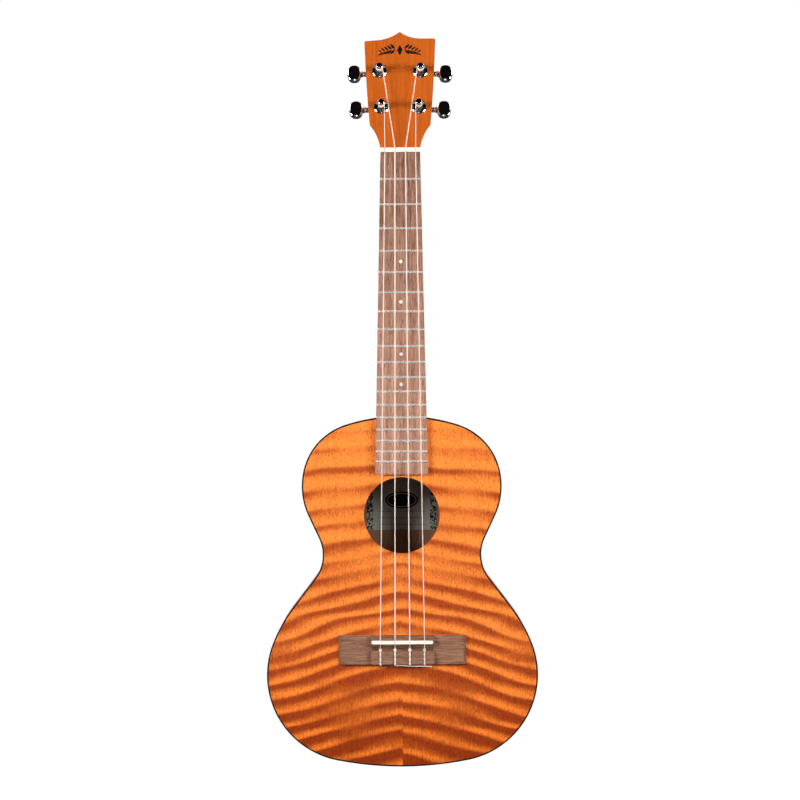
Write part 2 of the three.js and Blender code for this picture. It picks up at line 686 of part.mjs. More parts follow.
/** The worm and its shaft: a right-hand thread, one turn of which moves the wheel by one tooth. */
function wormShaft(side) {
  const stepsPerTurn = 10;
  const turns = 4;
  const halfThread = lead / 4 - BACKLASH / 2;
  const section = [
    [-(halfThread + (WORM.radius - WORM.core + 0.2) * Math.tan(FLANK)), WORM.core - 0.2],
    [-(halfThread - WHEEL.addendum * Math.tan(FLANK)), WORM.radius + WHEEL.addendum],
    [halfThread - WHEEL.addendum * Math.tan(FLANK), WORM.radius + WHEEL.addendum],
    [halfThread + (WORM.radius - WORM.core + 0.2) * Math.tan(FLANK), WORM.core - 0.2],
  ];
  const rings = [];
  for (let step = 0; step <= turns * stepsPerTurn; step++) {
    const angle = Math.PI + 2 * Math.PI * (step / stepsPerTurn - turns / 2 + 0.5);
    const along = lead * (step / stepsPerTurn - turns / 2 + 0.5);
    rings.push(section.map(([offset, r]) =>
      new THREE.Vector3(along + offset, r * Math.cos(angle), r * Math.sin(angle))));
  }
  const thread = loft(rings.reverse()).translate(0, centreDistance, wormHeight);
  const end = side * WORM.length;
  const shoulder = side * (HOUSING.outer + 0.3);
  const tip = side * (BUTTON.neckEnd - GLUE);
  const shaftPoints = [
    [0, -end], [WORM.core, -end], [WORM.core, end], [SHAFT.journal, side * (WORM.length + 0.2)],
    [SHAFT.journal, shoulder], [SHAFT.neck, shoulder], [SHAFT.neck, tip], [0, tip],
  ];
  const shaft = alongX(turned(side > 0 ? shaftPoints : shaftPoints.reverse(), 0, 0, 12));
  return join(shaft, thread);
}

/** The finger button: a squarish oval with bevelled rims, on a flared neck. */
function button(side) {
  const bevel = 1.6;
  const squareness = 0.8; // 1 is a true ellipse, and less is nearer to a rectangle
  const halfWidth = BUTTON.width / 2 - bevel;
  const halfHeight = BUTTON.height / 2 - bevel;
  const outline = Array.from({ length: 16 }, (_, i) => {
    const angle = (2 * Math.PI * (i + 0.5)) / 16;
    const x = Math.sign(Math.cos(angle)) * Math.abs(Math.cos(angle)) ** squareness;
    const y = Math.sign(Math.sin(angle)) * Math.abs(Math.sin(angle)) ** squareness;
    return new THREE.Vector2(halfWidth * x, halfHeight * y);
  });
  const depth = BUTTON.thickness - 2 * bevel;
  const face = new THREE.ExtrudeGeometry(new THREE.Shape(outline), {
    depth, bevelThickness: bevel, bevelSize: bevel, bevelSegments: 2,
  }).translate(side * BUTTON.at, centreDistance, wormHeight - depth / 2);
  const start = BUTTON.neckEnd;
  const end = start + 4;
  const points = [
    [0, start], [SHAFT.neck, start], [SHAFT.neck, start + 1], [SHAFT.flare, end], [0, end],
  ].map(([r, h]) => [r, side * h]);
  const neck = alongX(turned(side > 0 ? points : points.reverse(), 0, 0, 12));
  return join(face, neck);
}

TUNER_PLACES.forEach(({ x, y, side }, index) => {
  const tuner = new THREE.Group();
  tuner.position.set(x, y, 0);
  headFrame.add(tuner);
  const name = `tuner_${index + 1}`;
  place(`${name}_housing`, housing(side), chrome(), tuner);
  place(`${name}_bushing`, bushing(), chrome(), tuner);
  place(`${name}_post`, post(), chrome(), tuner);
  place(`${name}_wheel`, wheel(), brass(), tuner);
  place(`${name}_worm_shaft`, wormShaft(side), chrome(), tuner);
  place(`${name}_button`, button(side), chrome(), tuner);
});

export default ukulele;
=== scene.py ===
"""A tenor ukulele around its CAD frame: fine meshes, materials, studio light and the camera.

Metres. +X is right as seen from the front, the front faces -Y and +Z runs up the neck.
"""

import math

import bmesh
import bpy
import numpy as np
from mathutils import Matrix, Vector


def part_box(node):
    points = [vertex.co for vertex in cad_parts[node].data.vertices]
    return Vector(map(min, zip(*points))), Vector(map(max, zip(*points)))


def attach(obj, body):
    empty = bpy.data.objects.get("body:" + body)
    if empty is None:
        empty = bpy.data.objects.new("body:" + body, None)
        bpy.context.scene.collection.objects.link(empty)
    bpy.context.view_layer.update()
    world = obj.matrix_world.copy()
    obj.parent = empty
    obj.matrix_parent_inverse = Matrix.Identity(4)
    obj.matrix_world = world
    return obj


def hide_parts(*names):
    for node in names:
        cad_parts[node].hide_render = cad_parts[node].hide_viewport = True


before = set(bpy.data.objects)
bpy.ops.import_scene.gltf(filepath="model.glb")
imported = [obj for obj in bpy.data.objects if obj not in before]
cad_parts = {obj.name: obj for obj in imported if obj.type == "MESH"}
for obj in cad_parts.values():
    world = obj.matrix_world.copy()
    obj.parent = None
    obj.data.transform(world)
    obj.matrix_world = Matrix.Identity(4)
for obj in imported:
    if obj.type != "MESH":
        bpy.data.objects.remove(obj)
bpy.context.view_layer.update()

# ---------------------------------------------------------------- places and sizes

MM = 0.001
SEAT = 0.1 * MM  # room that the CAD leaves under the nut, frets and saddle
FACE_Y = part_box("soundboard")[0].y  # the soundboard's face, which is also the neck's glue plane
ZERO_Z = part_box("nut")[0].z - SEAT  # the scale's zero, at the nut's front edge

SCALE_LENGTH = 431.8 * MM
FRETS = 18
BOARD = {"length": 290.8 * MM, "width": 35.9 * MM, "end_width": 47.6 * MM, "thickness": 5 * MM}
FRET_WIDTH = 2 * MM
FRET_HEIGHT = 1 * MM
NUT_THICKNESS = 3.9 * MM
NUT_TOP = 7.9 * MM
NUT_SLOT = 1.3 * MM

BODY_TOP = -238.1 * MM
BODY_ARCS = (  # from the heel round to the tail: radius in mm and sweep in degrees, or a straight
    (169.0, 17.6),
    (55.8, 55.7),
    (63.3, 41.75),
    ("straight", 22.3),
    (-35.1, 62.3),
    ("straight", 33.0),
    (135.4, 15.9),
    (78.5, 100.1),
)
DEPTH_AT_HEEL = 62 * MM
DEPTH_AT_TAIL = 70 * MM
BODY_LENGTH = 316.7 * MM
PANEL = 2 * MM
RIB = 1.8 * MM
EDGING = {"width": 1.4 * MM, "depth": 5 * MM, "round": 0.8 * MM}
HOLE_Z = -327.6 * MM
HOLE_RADIUS = 34.3 * MM

HEAD_PITCH = math.radians(15)
HEAD_THICKNESS = 13.5 * MM
HEAD_PEAK = 112.1 * MM
HEAD_CORNER = Vector((32.3, 104.3)) * MM
HEAD_SHOULDER = Vector((27.6, 23.0)) * MM
CROWN_FOOT = Vector((18.5, 104.9)) * MM
CROWN_RADIUS = 34 * MM
CORNER_RADIUS = 1.3 * MM
CROWN_SKEW = 0.039
THROAT_RADIUS = 55 * MM
NECK_DEPTH = 13.5 * MM
NECK_DEPTH_AT_HEEL = 15.5 * MM
HEEL_START = -200 * MM
HEEL_FULL = -222 * MM
HEEL_CAP = 1.8 * MM

BRIDGE_TOP = -435.8 * MM
BRIDGE_DEPTH = 26.3 * MM
BRIDGE_LENGTH = 115 * MM
BRIDGE_CENTRE = 56.6 * MM
BRIDGE_WING = 4 * MM
BRIDGE_HEIGHT = 8 * MM
TIE_FRONT = BRIDGE_TOP - 14.1 * MM
STRING_HOLE = 3.9 * MM
SADDLE_Z = -441.9 * MM
SADDLE_TOP = 11.2 * MM
SADDLE_THICKNESS = 3.1 * MM
SADDLE_LENGTH = 55.5 * MM

STRING_TOUCH = 0.02 * MM  # its room to the post, and how far it sinks into the saddle
STRING_RADIUS = (0.36 * MM, 0.45 * MM, 0.42 * MM, 0.36 * MM)
STRING_AT_NUT = (-13.9 * MM, -4.8 * MM, 4.8 * MM, 13.9 * MM)
STRING_AT_SADDLE = (-19.9 * MM, -6.65 * MM, 6.65 * MM, 19.9 * MM)

TUNERS = (  # x and y in the headstock's plane, and the side that the button is on
    (-16.95 * MM, 39.5 * MM, -1),
    (-18.6 * MM, 74.3 * MM, -1),
    (18.6 * MM, 74.3 * MM, 1),
    (16.95 * MM, 39.5 * MM, 1),
)
WORM_OFFSET = 4.8 * MM
WORM_HEIGHT = -HEAD_THICKNESS - 8 * MM
BUTTON_AT = 23.1 * MM
BUTTON_SIZE = Vector((12.5, 15.9, 7.6)) * MM

# The front's own frame: x, then up the neck, then height in front of the glue plane.
FRONT = Matrix.Translation((0, FACE_Y, ZERO_Z)) @ Matrix.Rotation(math.pi / 2, 4, "X")
# The headstock's frame: x, then up its pitched face, then height in front of that face.
HEAD = (
    Matrix.Translation((0, FACE_Y, ZERO_Z + NUT_THICKNESS))
    @ Matrix.Rotation(math.pi / 2 - HEAD_PITCH, 4, "X")
)


def at(x, height, z):
    """A point at a height in front of the glue plane and z up the neck from the scale's zero."""
    return FRONT @ Vector((x, z, height))


def fret_z(number):
    return -SCALE_LENGTH * (1 - 2 ** (-number / 12))


def board_width(z):
    taper = (BOARD["end_width"] - BOARD["width"]) / BOARD["length"]
    return BOARD["width"] + taper * max(0.0, -z)


def rear_depth(z):
    """Depth of the flat back behind the glue plane: it leans out toward the tail."""
    return DEPTH_AT_HEEL + (DEPTH_AT_TAIL - DEPTH_AT_HEEL) * (BODY_TOP - z) / BODY_LENGTH


# ---------------------------------------------------------------- outlines


def half_outline(inset=0.0, step=2.0):
    """The body's right half from heel to tail as (x, z), with a point every step degrees."""
    points = []
    x, z, heading = 0.0, BODY_TOP - inset, 0.0

    def arc(radius, sweep):
        nonlocal x, z, heading
        turn = math.copysign(1, radius)
        cx = x - radius * math.sin(heading)
        cz = z - radius * math.cos(heading)
        count = max(2, math.ceil(math.degrees(sweep) / step))
        for i in range(count):
            angle = heading + turn * sweep * i / count
            points.append((cx + radius * math.sin(angle), cz + radius * math.cos(angle)))
        heading += turn * sweep
        x = cx + radius * math.sin(heading)
        z = cz + radius * math.cos(heading)

    for first, second in BODY_ARCS:
        if first == "straight":
            length = second * MM
            count = 6
            for i in range(count):
                along = length * i / count
                points.append((x + along * math.cos(heading), z - along * math.sin(heading)))
            x += length * math.cos(heading)
            z -= length * math.sin(heading)
        else:
            arc(first * MM - inset, math.radians(second))
    sweep = math.pi - heading
    arc(x / math.sin(sweep), sweep)
    points.append((0.0, z))
    return points


def body_outline(inset=0.0, step=2.0):
    right = half_outline(inset, step)
    return right + [(-x, z) for x, z in reversed(right[1:-1])]


def mm(points):
    """Points given in millimetres, in metres."""
    return [(a * MM, b * MM) for a, b in points]


def quarter(count=6):
    """Angles from 0 to 90 degrees."""
    return [math.pi / 2 * i / count for i in range(count + 1)]


def circle(cx, cy, radius, count=96):
    return [
        (cx + radius * math.cos(2 * math.pi * i / count), cy + radius * math.sin(2 * math.pi * i / count))
        for i in range(count)
    ]


def stadium(length, width, cy, count=10):
    """A bar with round ends along x."""
    r = width / 2
    points = []
    for sign in (1, -1):
        for i in range(count + 1):
            angle = sign * math.pi / 2 - math.pi * i / count
            points.append((sign * (length / 2 - r) + r * math.cos(angle), cy + r * math.sin(angle)))
    return points


def box(left, bottom, right, top):
    return [(left, bottom), (right, bottom), (right, top), (left, top)]


def rounded_box(left, bottom, right, top, radius, count=6):
    points = []
    corners = ((right, top), (left, top), (left, bottom), (right, bottom))
    for k, (cx, cy) in enumerate(corners):
        ox = cx - radius if cx == right else cx + radius
        oy = cy - radius if cy == top else cy + radius
        for i in range(count + 1):
            angle = (k + i / count) * math.pi / 2
            points.append((ox + radius * math.cos(angle), oy + radius * math.sin(angle)))
    return points


def leaf(cx, cy, length, width, turn, count=8):
    """A pointed leaf about (cx, cy), its length turned from the x direction."""
    half = [(u / count, 1 - (u / count) ** 2) for u in range(-count, count + 1)]
    edge = [(u, w) for u, w in half] + [(u, -w) for u, w in reversed(half[1:-1])]
    c, s = math.cos(turn), math.sin(turn)
    points = []
    for u, w in edge:
        along, across = u * length / 2, w * width / 2
        points.append((cx + along * c - across * s, cy + along * s + across * c))
    return points


def resample(points, count):
    """Points evenly spaced along a path."""
    p = np.array(points, float)
    along = np.concatenate([[0], np.cumsum(np.linalg.norm(np.diff(p, axis=0), axis=1))])
    wanted = np.linspace(0, along[-1], count + 1)
    return np.stack([np.interp(wanted, along, p[:, k]) for k in range(p.shape[1])], axis=1)


# ---------------------------------------------------------------- mesh building


def placed(name, data):
    """A new object in the scene."""
    obj = bpy.data.objects.new(name, data)
    bpy.context.scene.collection.objects.link(obj)
    return obj


def finish_mesh(name, verts, faces, sharp=35):
    """A new object from points in the row frame: welded, with outward faces and smooth shading."""
    mesh = bpy.data.meshes.new(name)
    mesh.from_pydata([tuple(v) for v in verts], [], faces)
    work = bmesh.new()
    work.from_mesh(mesh)
    bmesh.ops.remove_doubles(work, verts=work.verts, dist=1e-7)
    bmesh.ops.dissolve_degenerate(work, edges=work.edges, dist=1e-8)
    bmesh.ops.recalc_face_normals(work, faces=work.faces)
    limit = math.radians(sharp)
    for face in work.faces:
        face.smooth = True
    for edge in work.edges:
        if len(edge.link_faces) == 2:
            edge.smooth = edge.calc_face_angle(0.0) < limit
    work.to_mesh(mesh)
    work.free()
    return placed(name, mesh)


def loft(name, rings, sharp=35, ends=True, extra=()):
    """A skin through rings of equally many points, closed round each ring and at both ends."""
    count = len(rings[0])
    verts = [p for ring in rings for p in ring]
    faces = []
    for r in range(len(rings) - 1):
        for i in range(count):
            a, b = r * count + i, r * count + (i + 1) % count
            faces.append((a, b, b + count, a + count))
    if ends:
        faces.append(tuple(range(count))[::-1])
        faces.append(tuple(range(len(verts) - count, len(verts))))
    faces.extend(extra)
    return finish_mesh(name, verts, faces, sharp)


def evaluated(obj, move=Matrix.Identity(4)):
    """The moved points and the faces of an object, as its curve or modifiers make it."""
    mesh = bpy.data.meshes.new_from_object(
        obj.evaluated_get(bpy.context.evaluated_depsgraph_get())
    )
    mesh.transform(move)
    verts = [v.co.copy() for v in mesh.vertices]
    faces = [tuple(p.vertices) for p in mesh.polygons]
    bpy.data.meshes.remove(mesh)
    return verts, faces


def plate(name, loops, low, high, place=FRONT):
    """Flat loops, the first the outer one, filled and made solid between two heights."""
    curve = bpy.data.curves.new(name, "CURVE")
    curve.dimensions = "2D"
    curve.fill_mode = "BOTH"
    curve.extrude = (high - low) / 2
    for loop in loops:
        spline = curve.splines.new("POLY")
        spline.points.add(len(loop) - 1)
        for point, (x, y) in zip(spline.points, loop):
            point.co = (x, y, 0, 1)
        spline.use_cyclic_u = True
    holder = placed(name, curve)
    verts, faces = evaluated(holder, place @ Matrix.Translation((0, 0, (high + low) / 2)))
    bpy.data.objects.remove(holder)
    bpy.data.curves.remove(curve)
    return finish_mesh(name, verts, faces)


def turned(name, profile, place, segments=48):
    """A solid of revolution about the place's third axis, from points of radius and height."""
    rings = []
    for radius, height in profile:
        ring = []
        for i in range(segments):
            angle = 2 * math.pi * i / segments
            ring.append(place @ Vector((radius * math.cos(angle), radius * math.sin(angle), height)))
        rings.append(ring)
    return loft(name, rings, ends=profile[0] != profile[-1])


def rod(name, radius, low, high, place, segments):
    """A round bar along the place's third axis, for drilling and inlays."""
    return turned(name, [(0, low), (radius, low), (radius, high), (0, high)], place, segments)


def path_frames(points):
    """Two directions across the path at each point, carried along without twist."""
    frames = []
    across = None
    for i in range(len(points)):
        before = points[max(0, i - 1)]
        after = points[min(len(points) - 1, i + 1)]
        along = (after - before).normalized()
        if across is None:
            across = along.orthogonal()
        across = (across - along * across.dot(along)).normalized()
        frames.append((across, along.cross(across)))
    return frames


def tube(name, points, radius, sides=14):
    """A round cord through points."""
    points = [Vector(p) for p in points]
    rings = []
    for point, (a, b) in zip(points, path_frames(points)):
        rings.append([
            point + radius * (math.cos(t) * a + math.sin(t) * b)
            for t in (2 * math.pi * k / sides for k in range(sides))
        ])
    return loft(name, rings, sharp=60)


def bent(points, radius, count=6):
    """A path of straight runs with each corner rounded."""
    points = [Vector(p) for p in points]
    path = [points[0]]
    for before, corner, after in zip(points, points[1:], points[2:]):
        start = corner + (before - corner).normalized() * min(radius, (before - corner).length / 2)
        end = corner + (after - corner).normalized() * min(radius, (after - corner).length / 2)
        for i in range(count + 1):
            t = i / count
            path.append(start * (1 - t) ** 2 + corner * 2 * t * (1 - t) + end * t * t)
    path.append(points[-1])
    return path


def flowing(points, count=8):
    """A smooth path through points."""
    points = [Vector(p) for p in points]
    ends = [2 * points[0] - points[1]] + points + [2 * points[-1] - points[-2]]
    path = []
    for a, b, c, d in zip(ends, ends[1:], ends[2:], ends[3:]):
        for i in range(count):
            t = i / count
            path.append(0.5 * (
                2 * b + (c - a) * t + (2 * a - 5 * b + 4 * c - d) * t ** 2
                + (3 * b - a - 3 * c + d) * t ** 3
            ))
    path.append(points[-1])
    return path


def soften(obj, width, segments=2, angle=40):
    """Rounds the sharp edges."""
    bevel = obj.modifiers.new("edges", "BEVEL")
    bevel.width = width
    bevel.segments = segments
    bevel.limit_method = "ANGLE"
    bevel.angle_limit = math.radians(angle)
    bevel.harden_normals = True
    bevel.use_clamp_overlap = True
    return obj


def combine(obj, tool, operation):
    """Cuts the tool from obj or joins it on, and removes the tool."""
    step = obj.modifiers.new("combine", "BOOLEAN")
    step.operation = operation
    step.solver = "EXACT"
    step.object = tool
    verts, faces = evaluated(obj)
    name = obj.name
    for old in (obj, tool):
        data = old.data
        bpy.data.objects.remove(old)
        bpy.data.meshes.remove(data)
    return finish_mesh(name, verts, faces)


def piece(obj, slot, material, body="root", replaces=()):
    """Gives a piece its material and its body, and hides the CAD nodes it stands for; the slot is not
    used.
    """
    obj.data.materials.clear()
    obj.data.materials.append(material)
    obj.modifiers.new("normals", "WEIGHTED_NORMAL").keep_sharp = True
    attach(obj, body)
    if replaces:
        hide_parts(*replaces)


def repaint(node, material):
    """Gives a CAD node that stays in view its material."""
    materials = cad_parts[node].data.materials
    materials.clear()
    materials.append(material)


# ---------------------------------------------------------------- materials

CURL_TOP = ZERO_Z - 250 * MM  # where the curl in the front's wood starts to change, and ends
CURL_TAIL = ZERO_Z - 555 * MM
CURL_PERIOD = 15.2 * MM  # from band to band, and less below the waist
CURL_WAIST = ZERO_Z - 420 * MM
CURL_REACH = 360 * MM
CURL_PINCH = 4.0
CURL_WANDER, CURL_RIPPLE = 20 * MM, 13 * MM  # how far the bands stray, slowly and quickly
CURL_SHARPEN = 0.45  # how much steeper a band is on one side
CURL_EDGE = 1.1  # the wave's height where the wood is wholly light, and minus that where it is dark
CURL_DARKER = 1.25  # how much the dark bands gain on the light ones from top to tail
CURL_SLIP = 4.0  # how far the two halves' bands come apart at the seam toward the tail
TAIL_SHADE_DARK = (0.64, 0.5, 0.1, 1)  # painted shade over the dark and the light bands, darkening both toward the tail
TAIL_SHADE_LIGHT = (0.94, 0.8, 0.45, 1)
CURL_STEEPER = 0.17  # how much more the bands slope to the seam at the tail
SEAM_ROUND = 6 * MM  # how softly the bands turn over at the centre seam
HALF_SHIFT = 3 * MM  # how unlike each other the two matched halves are
BROAD_NOISE = 0.16  # plain wood's slow change of tone, next to its streaks
STREAK_SHARE = 0.85
TONE_BELOW, TONE_ABOVE = 0.28, 0.22
TONE_Z = ZERO_Z - 190 * MM  # where a board that is darker toward the nut has its middle tone
LABEL_X = -0.3 * MM  # the label's middle, and how far from it the printed borders begin
LABEL_BORDER = 26.2 * MM


class Nodes:
    """A node tree, written as short calls that return sockets."""

    def __init__(self, tree):
        self.tree = tree

    def node(self, kind, inputs=None, **settings):
        made = self.tree.nodes.new("ShaderNode" + kind)
        for key, value in settings.items():
            setattr(made, key, value)
        for key, value in (inputs or {}).items():
            self.feed(made.inputs[key], value)
        return made

    def feed(self, socket, value):
        if isinstance(value, bpy.types.NodeSocket):
            self.tree.links.new(value, socket)
        else:
            socket.default_value = value

    def math(self, operation, a, b=0.0):
        return self.node("Math", {0: a, 1: b}, operation=operation).outputs[0]

    def add(self, a, b):
        return self.math("ADD", a, b)

    def times(self, a, b):
        return self.math("MULTIPLY", a, b)

    def line(self, value, slope, start=0.0):
        """slope times the value, plus start."""
        return self.node("Math", {0: value, 1: slope, 2: start}, operation="MULTIPLY_ADD").outputs[0]

    def centred(self, noise, reach):
        """Noise about 0.5 turned into an offset about 0."""
        return self.line(noise, reach, -reach / 2)

    def place(self):
        return self.node("TexCoord").outputs["Object"]

    def split(self, vector):
        return self.node("SeparateXYZ", {0: vector}).outputs

    def join(self, x, y, z):
        return self.node("CombineXYZ", {0: x, 1: y, 2: z}).outputs[0]

    def scaled(self, vector, scale, shift):
        made = self.node("Mapping", {"Vector": vector, "Scale": scale, "Location": shift})
        return made.outputs[0]

    def noise(self, vector, scale, detail, roughness=0.5, distortion=0.0):
        made = self.node("TexNoise", {
            "Vector": vector, "Scale": scale, "Detail": detail, "Roughness": roughness,
            "Distortion": distortion,
        })
        return made.outputs["Fac"]

    def grain(self, vector, scale, detail, roughness=0.5, distortion=0.0, shift=(0, 0, 0)):
        """Noise with its own scale along X, Y and Z."""
        return self.noise(self.scaled(vector, scale, shift), 1.0, detail, roughness, distortion)

    def ramp(self, value, *stops):
        """A colour ramp; a stop's colour may be one number, for a grey."""
        made = self.node("ValToRGB", {0: value})
        elements = made.color_ramp.elements
        while len(elements) < len(stops):
            elements.new(0.5)
        for element, (position, colour) in zip(elements, stops):
            element.position = position
            element.color = colour if hasattr(colour, "__len__") else (colour,) * 3 + (1,)
        return made.outputs[0]

    def mix(self, share, a, b, blend="MIX"):
        made = self.node("Mix", data_type="RGBA", blend_type=blend)
        for key, value in (("Factor", share), (6, a), (7, b)):
            self.feed(made.inputs[key], value)
        return made.outputs[2]

    def tint(self, colour, factor):
        return self.mix(1.0, colour, factor, "MULTIPLY")

    def camera_ray(self):
        return self.node("LightPath").outputs["Is Camera Ray"]


class Shader(Nodes):
    """A material's node tree around its Principled shader."""

    def __init__(self, name, **constants):
        self.material = bpy.data.materials.new(name)
        self.material.use_nodes = True
        super().__init__(self.material.node_tree)
        self.bsdf = self.tree.nodes["Principled BSDF"]
        for key, value in constants.items():
            self.bsdf.inputs[key.replace("_", " ")].default_value = value

    def out(self, value, name):
        self.feed(self.bsdf.inputs[name], value)

    def bump(self, height, distance, strength):
        made = self.node("Bump", {"Height": height, "Distance": distance, "Strength": strength})
        self.out(made.outputs[0], "Normal")


def rgb(red, green, blue):
    """A colour as seen on a screen, 0 to 255, turned to linear light."""
    linear = []
    for value in (red, green, blue):
        share = value / 255
        linear.append(share / 12.92 if share <= 0.04045 else ((share + 0.055) / 1.055) ** 2.4)
    return (*linear, 1.0)


def flamed_wood(name, dark, light, seed=0.0, bookmatched=True, slope=0.12):
    """Satin mahogany with its grain along Z, whose curl shows as bands across the grain.

    The bands rise to the centre seam, and toward the tail they steepen and the dark ones widen. Painted
    shade darkens both band colours toward the tail.
    """
    s = Shader(name, Roughness=0.34, Specular_IOR_Level=0.2)
    p = s.place()
    x, y, z = s.split(p)
    down = s.node("MapRange", {"Value": z, "From Min": CURL_TOP, "From Max": CURL_TAIL}).outputs[0]
    if bookmatched:
        across = s.math("SQRT", s.line(s.times(x, x), 1.0, SEAM_ROUND ** 2))
        side = s.math("SIGN", x)
    else:
        across = s.add(x, y)
        side = 0.0
    sheet = s.join(across, s.times(side, HALF_SHIFT), s.add(z, seed))
    wander = s.centred(s.grain(sheet, (8, 30, 6), 1.0), CURL_WANDER)
    ripple = s.centred(s.grain(sheet, (6, 30, 34), 1.0), CURL_RIPPLE)
    tilt = s.times(across, s.line(down, CURL_STEEPER, slope))
    level = s.add(s.add(z, tilt), s.add(wander, ripple))
    reach = 2 * math.pi / CURL_REACH
    pinch = s.math("SINE", s.line(level, reach, -reach * CURL_WAIST))
    turns = s.add(s.line(level, 2 * math.pi / CURL_PERIOD), s.line(pinch, CURL_PINCH))
    seam = s.times(side, s.math("MAXIMUM", s.line(down, CURL_SLIP, -0.7 * CURL_SLIP), 0.0))
    turns = s.add(turns, s.line(seam, 1.0, seed * 40))
    wave = s.math("SINE", s.add(turns, s.line(s.math("SINE", turns), CURL_SHARPEN)))
    fade = s.grain(sheet, (12, 20, 34), 1.0, shift=(3, 1, 7))
    wave = s.times(wave, s.ramp(fade, (0.32, 0.25), (0.56, 1.15)))
    ragged = s.centred(s.grain(sheet, (800, 1, 90), 2.0), 0.9)
    patch = s.centred(s.grain(sheet, (14, 20, 46), 2.0, shift=(1, 5, 2)), 2.3)
    height = s.add(s.add(wave, ragged), s.add(patch, s.line(down, -CURL_DARKER, 0.6)))
    span = {"Value": height, "From Min": -CURL_EDGE, "From Max": CURL_EDGE}
    band = s.node("MapRange", span, interpolation_type="SMOOTHSTEP").outputs[0]
    # Painted shade: both band colours are darkened toward the tail.
    dark_band_shade = s.ramp(down, (0.0, 1.0), (0.6, 0.94), (1.0, TAIL_SHADE_DARK))
    pale = s.ramp(down, (0.0, 1.0), (0.6, 0.96), (1.0, TAIL_SHADE_LIGHT))
    colour = s.mix(band, s.tint(dark, dark_band_shade), s.tint(light, pale))
    streak = s.grain(p, (620, 620, 9), 3.0, 0.6)
    colour = s.tint(colour, s.ramp(streak, (0.3, 0.88), (0.7, 1.08)))
    fleck = s.grain(p, (820, 820, 380), 3.0, 0.7)
    colour = s.tint(colour, s.ramp(fleck, (0.3, 0.5), (0.47, 0.93), (0.66, 1.16)))
    s.out(colour, "Base Color")
    s.bump(s.add(s.line(streak, 0.3), fleck), 0.00004, 0.35)
    return s.material


def plain_wood(
    name, dark, light, grain, roughness, gloss, pores, cloudy=0.35, pitched=False, nutward=0.0
):
    """Straight-grained wood: grain is the scale along X, Y and Z, least along the fibres.

    Pores says how dark the pores are, and cloudy how uneven the tone is. If pitched, the grain turns
    with the headstock. Nutward says how much darker the wood gets toward the nut.
    """
    s = Shader(name, Roughness=roughness, Specular_IOR_Level=gloss)
    p = s.place()
    if pitched:
        x, y, z = s.split(p)
        above = s.math("MAXIMUM", s.line(z, 1.0, -ZERO_Z), 0.0)
        p = s.join(x, s.math("SUBTRACT", y, s.line(above, math.tan(HEAD_PITCH))), z)
    broad = s.grain(p, [g * BROAD_NOISE for g in grain], 3.0, 0.55, 0.4)
    streak = s.grain(p, grain, 5.0, 0.65, 0.2)
    value = s.add(s.times(broad, cloudy), s.times(streak, STREAK_SHARE))
    value = s.add(value, s.line(s.split(p)[2], -nutward, nutward * TONE_Z))
    middle = (cloudy + STREAK_SHARE) / 2
    colour = s.ramp(value, (middle - TONE_BELOW, dark), (middle + TONE_ABOVE, light))
    fine = s.grain(p, [g * 4 for g in grain], 2.0, 0.5)
    pore = s.ramp(fine, (0.33, 1 - pores), (0.44, 1.0))
    colour = s.tint(colour, pore)
    s.out(colour, "Base Color")
    s.bump(s.add(streak, pore), 0.00008, 0.6)
    return s.material


def metal(name, colour, roughness, **constants):
    s = Shader(name, **{"Metallic": 1.0, **constants})
    p = s.place()
    smear = s.grain(p, (700, 700, 700), 3.0, 0.6)
    s.out(s.ramp(smear, (0.3, roughness * 0.9), (0.7, roughness * 1.1)), "Roughness")
    s.out(s.mix(s.noise(p, 160, 2.0), colour, [c * 0.88 for c in colour[:3]] + [1]), "Base Color")
    return s.material


def smooth_plastic(name, colour, roughness, mottle=0.06, **constants):
    s = Shader(name, **constants)
    p = s.place()
    cloud = s.noise(p, 240, 3.0, 0.6)
    darker = [c * (1 - 2 * mottle) for c in colour[:3]] + [1]
    s.out(s.mix(cloud, darker, colour), "Base Color")
    s.out(s.ramp(s.noise(p, 900, 2.0), (0.3, roughness * 0.8), (0.7, roughness * 1.25)), "Roughness")
    return s.material


def printed_paper():
    """Grey paper with a border of fine black mottle down its two long sides."""
    s = Shader("label_paper", Roughness=0.8)
    p = s.place()
    x = s.split(p)[0]
    border = s.math("GREATER_THAN", s.math("ABSOLUTE", s.line(x, 1.0, -LABEL_X)), LABEL_BORDER)
    mottle = s.math("GREATER_THAN", s.noise(p, 420, 3.0, 0.7), 0.49)
    cloud = s.mix(s.noise(p, 240, 3.0, 0.6), rgb(160, 162, 152), rgb(182, 182, 172))
    s.out(s.mix(s.times(border, mottle), cloud, rgb(20, 19, 17)), "Base Color")
    return s.material


TOP_WOOD = flamed_wood("flamed_top", rgb(166, 66, 20), rgb(250, 136, 54))
BACK_WOOD = flamed_wood("flamed_back", rgb(160, 62, 20), rgb(226, 116, 40), 0.37, slope=0.1)
SIDE_WOOD = flamed_wood(
    "flamed_sides", rgb(160, 62, 20), rgb(226, 116, 40), 0.81, bookmatched=False, slope=0.02
)
NECK_WOOD = plain_wood(
    "neck_mahogany", rgb(160, 70, 14), rgb(202, 98, 28), (720, 720, 18), 0.34, 0.25, 0.12, pitched=True
)
BLOCK_WOOD = plain_wood(
    "block_mahogany", rgb(130, 84, 58), rgb(184, 130, 96), (420, 420, 16), 0.75, 0.2, 0.3
)
WALNUT_BOARD = plain_wood(
    "walnut_board", rgb(104, 68, 50), rgb(198, 148, 124), (620, 620, 50), 0.6, 0.25, 0.55, 0.12,
    nutward=0.6,
)
WALNUT_BRIDGE = plain_wood(
    "walnut_bridge", rgb(48, 32, 24), rgb(170, 121, 93), (44, 640, 640), 0.62, 0.22, 0.5, 0.2
)
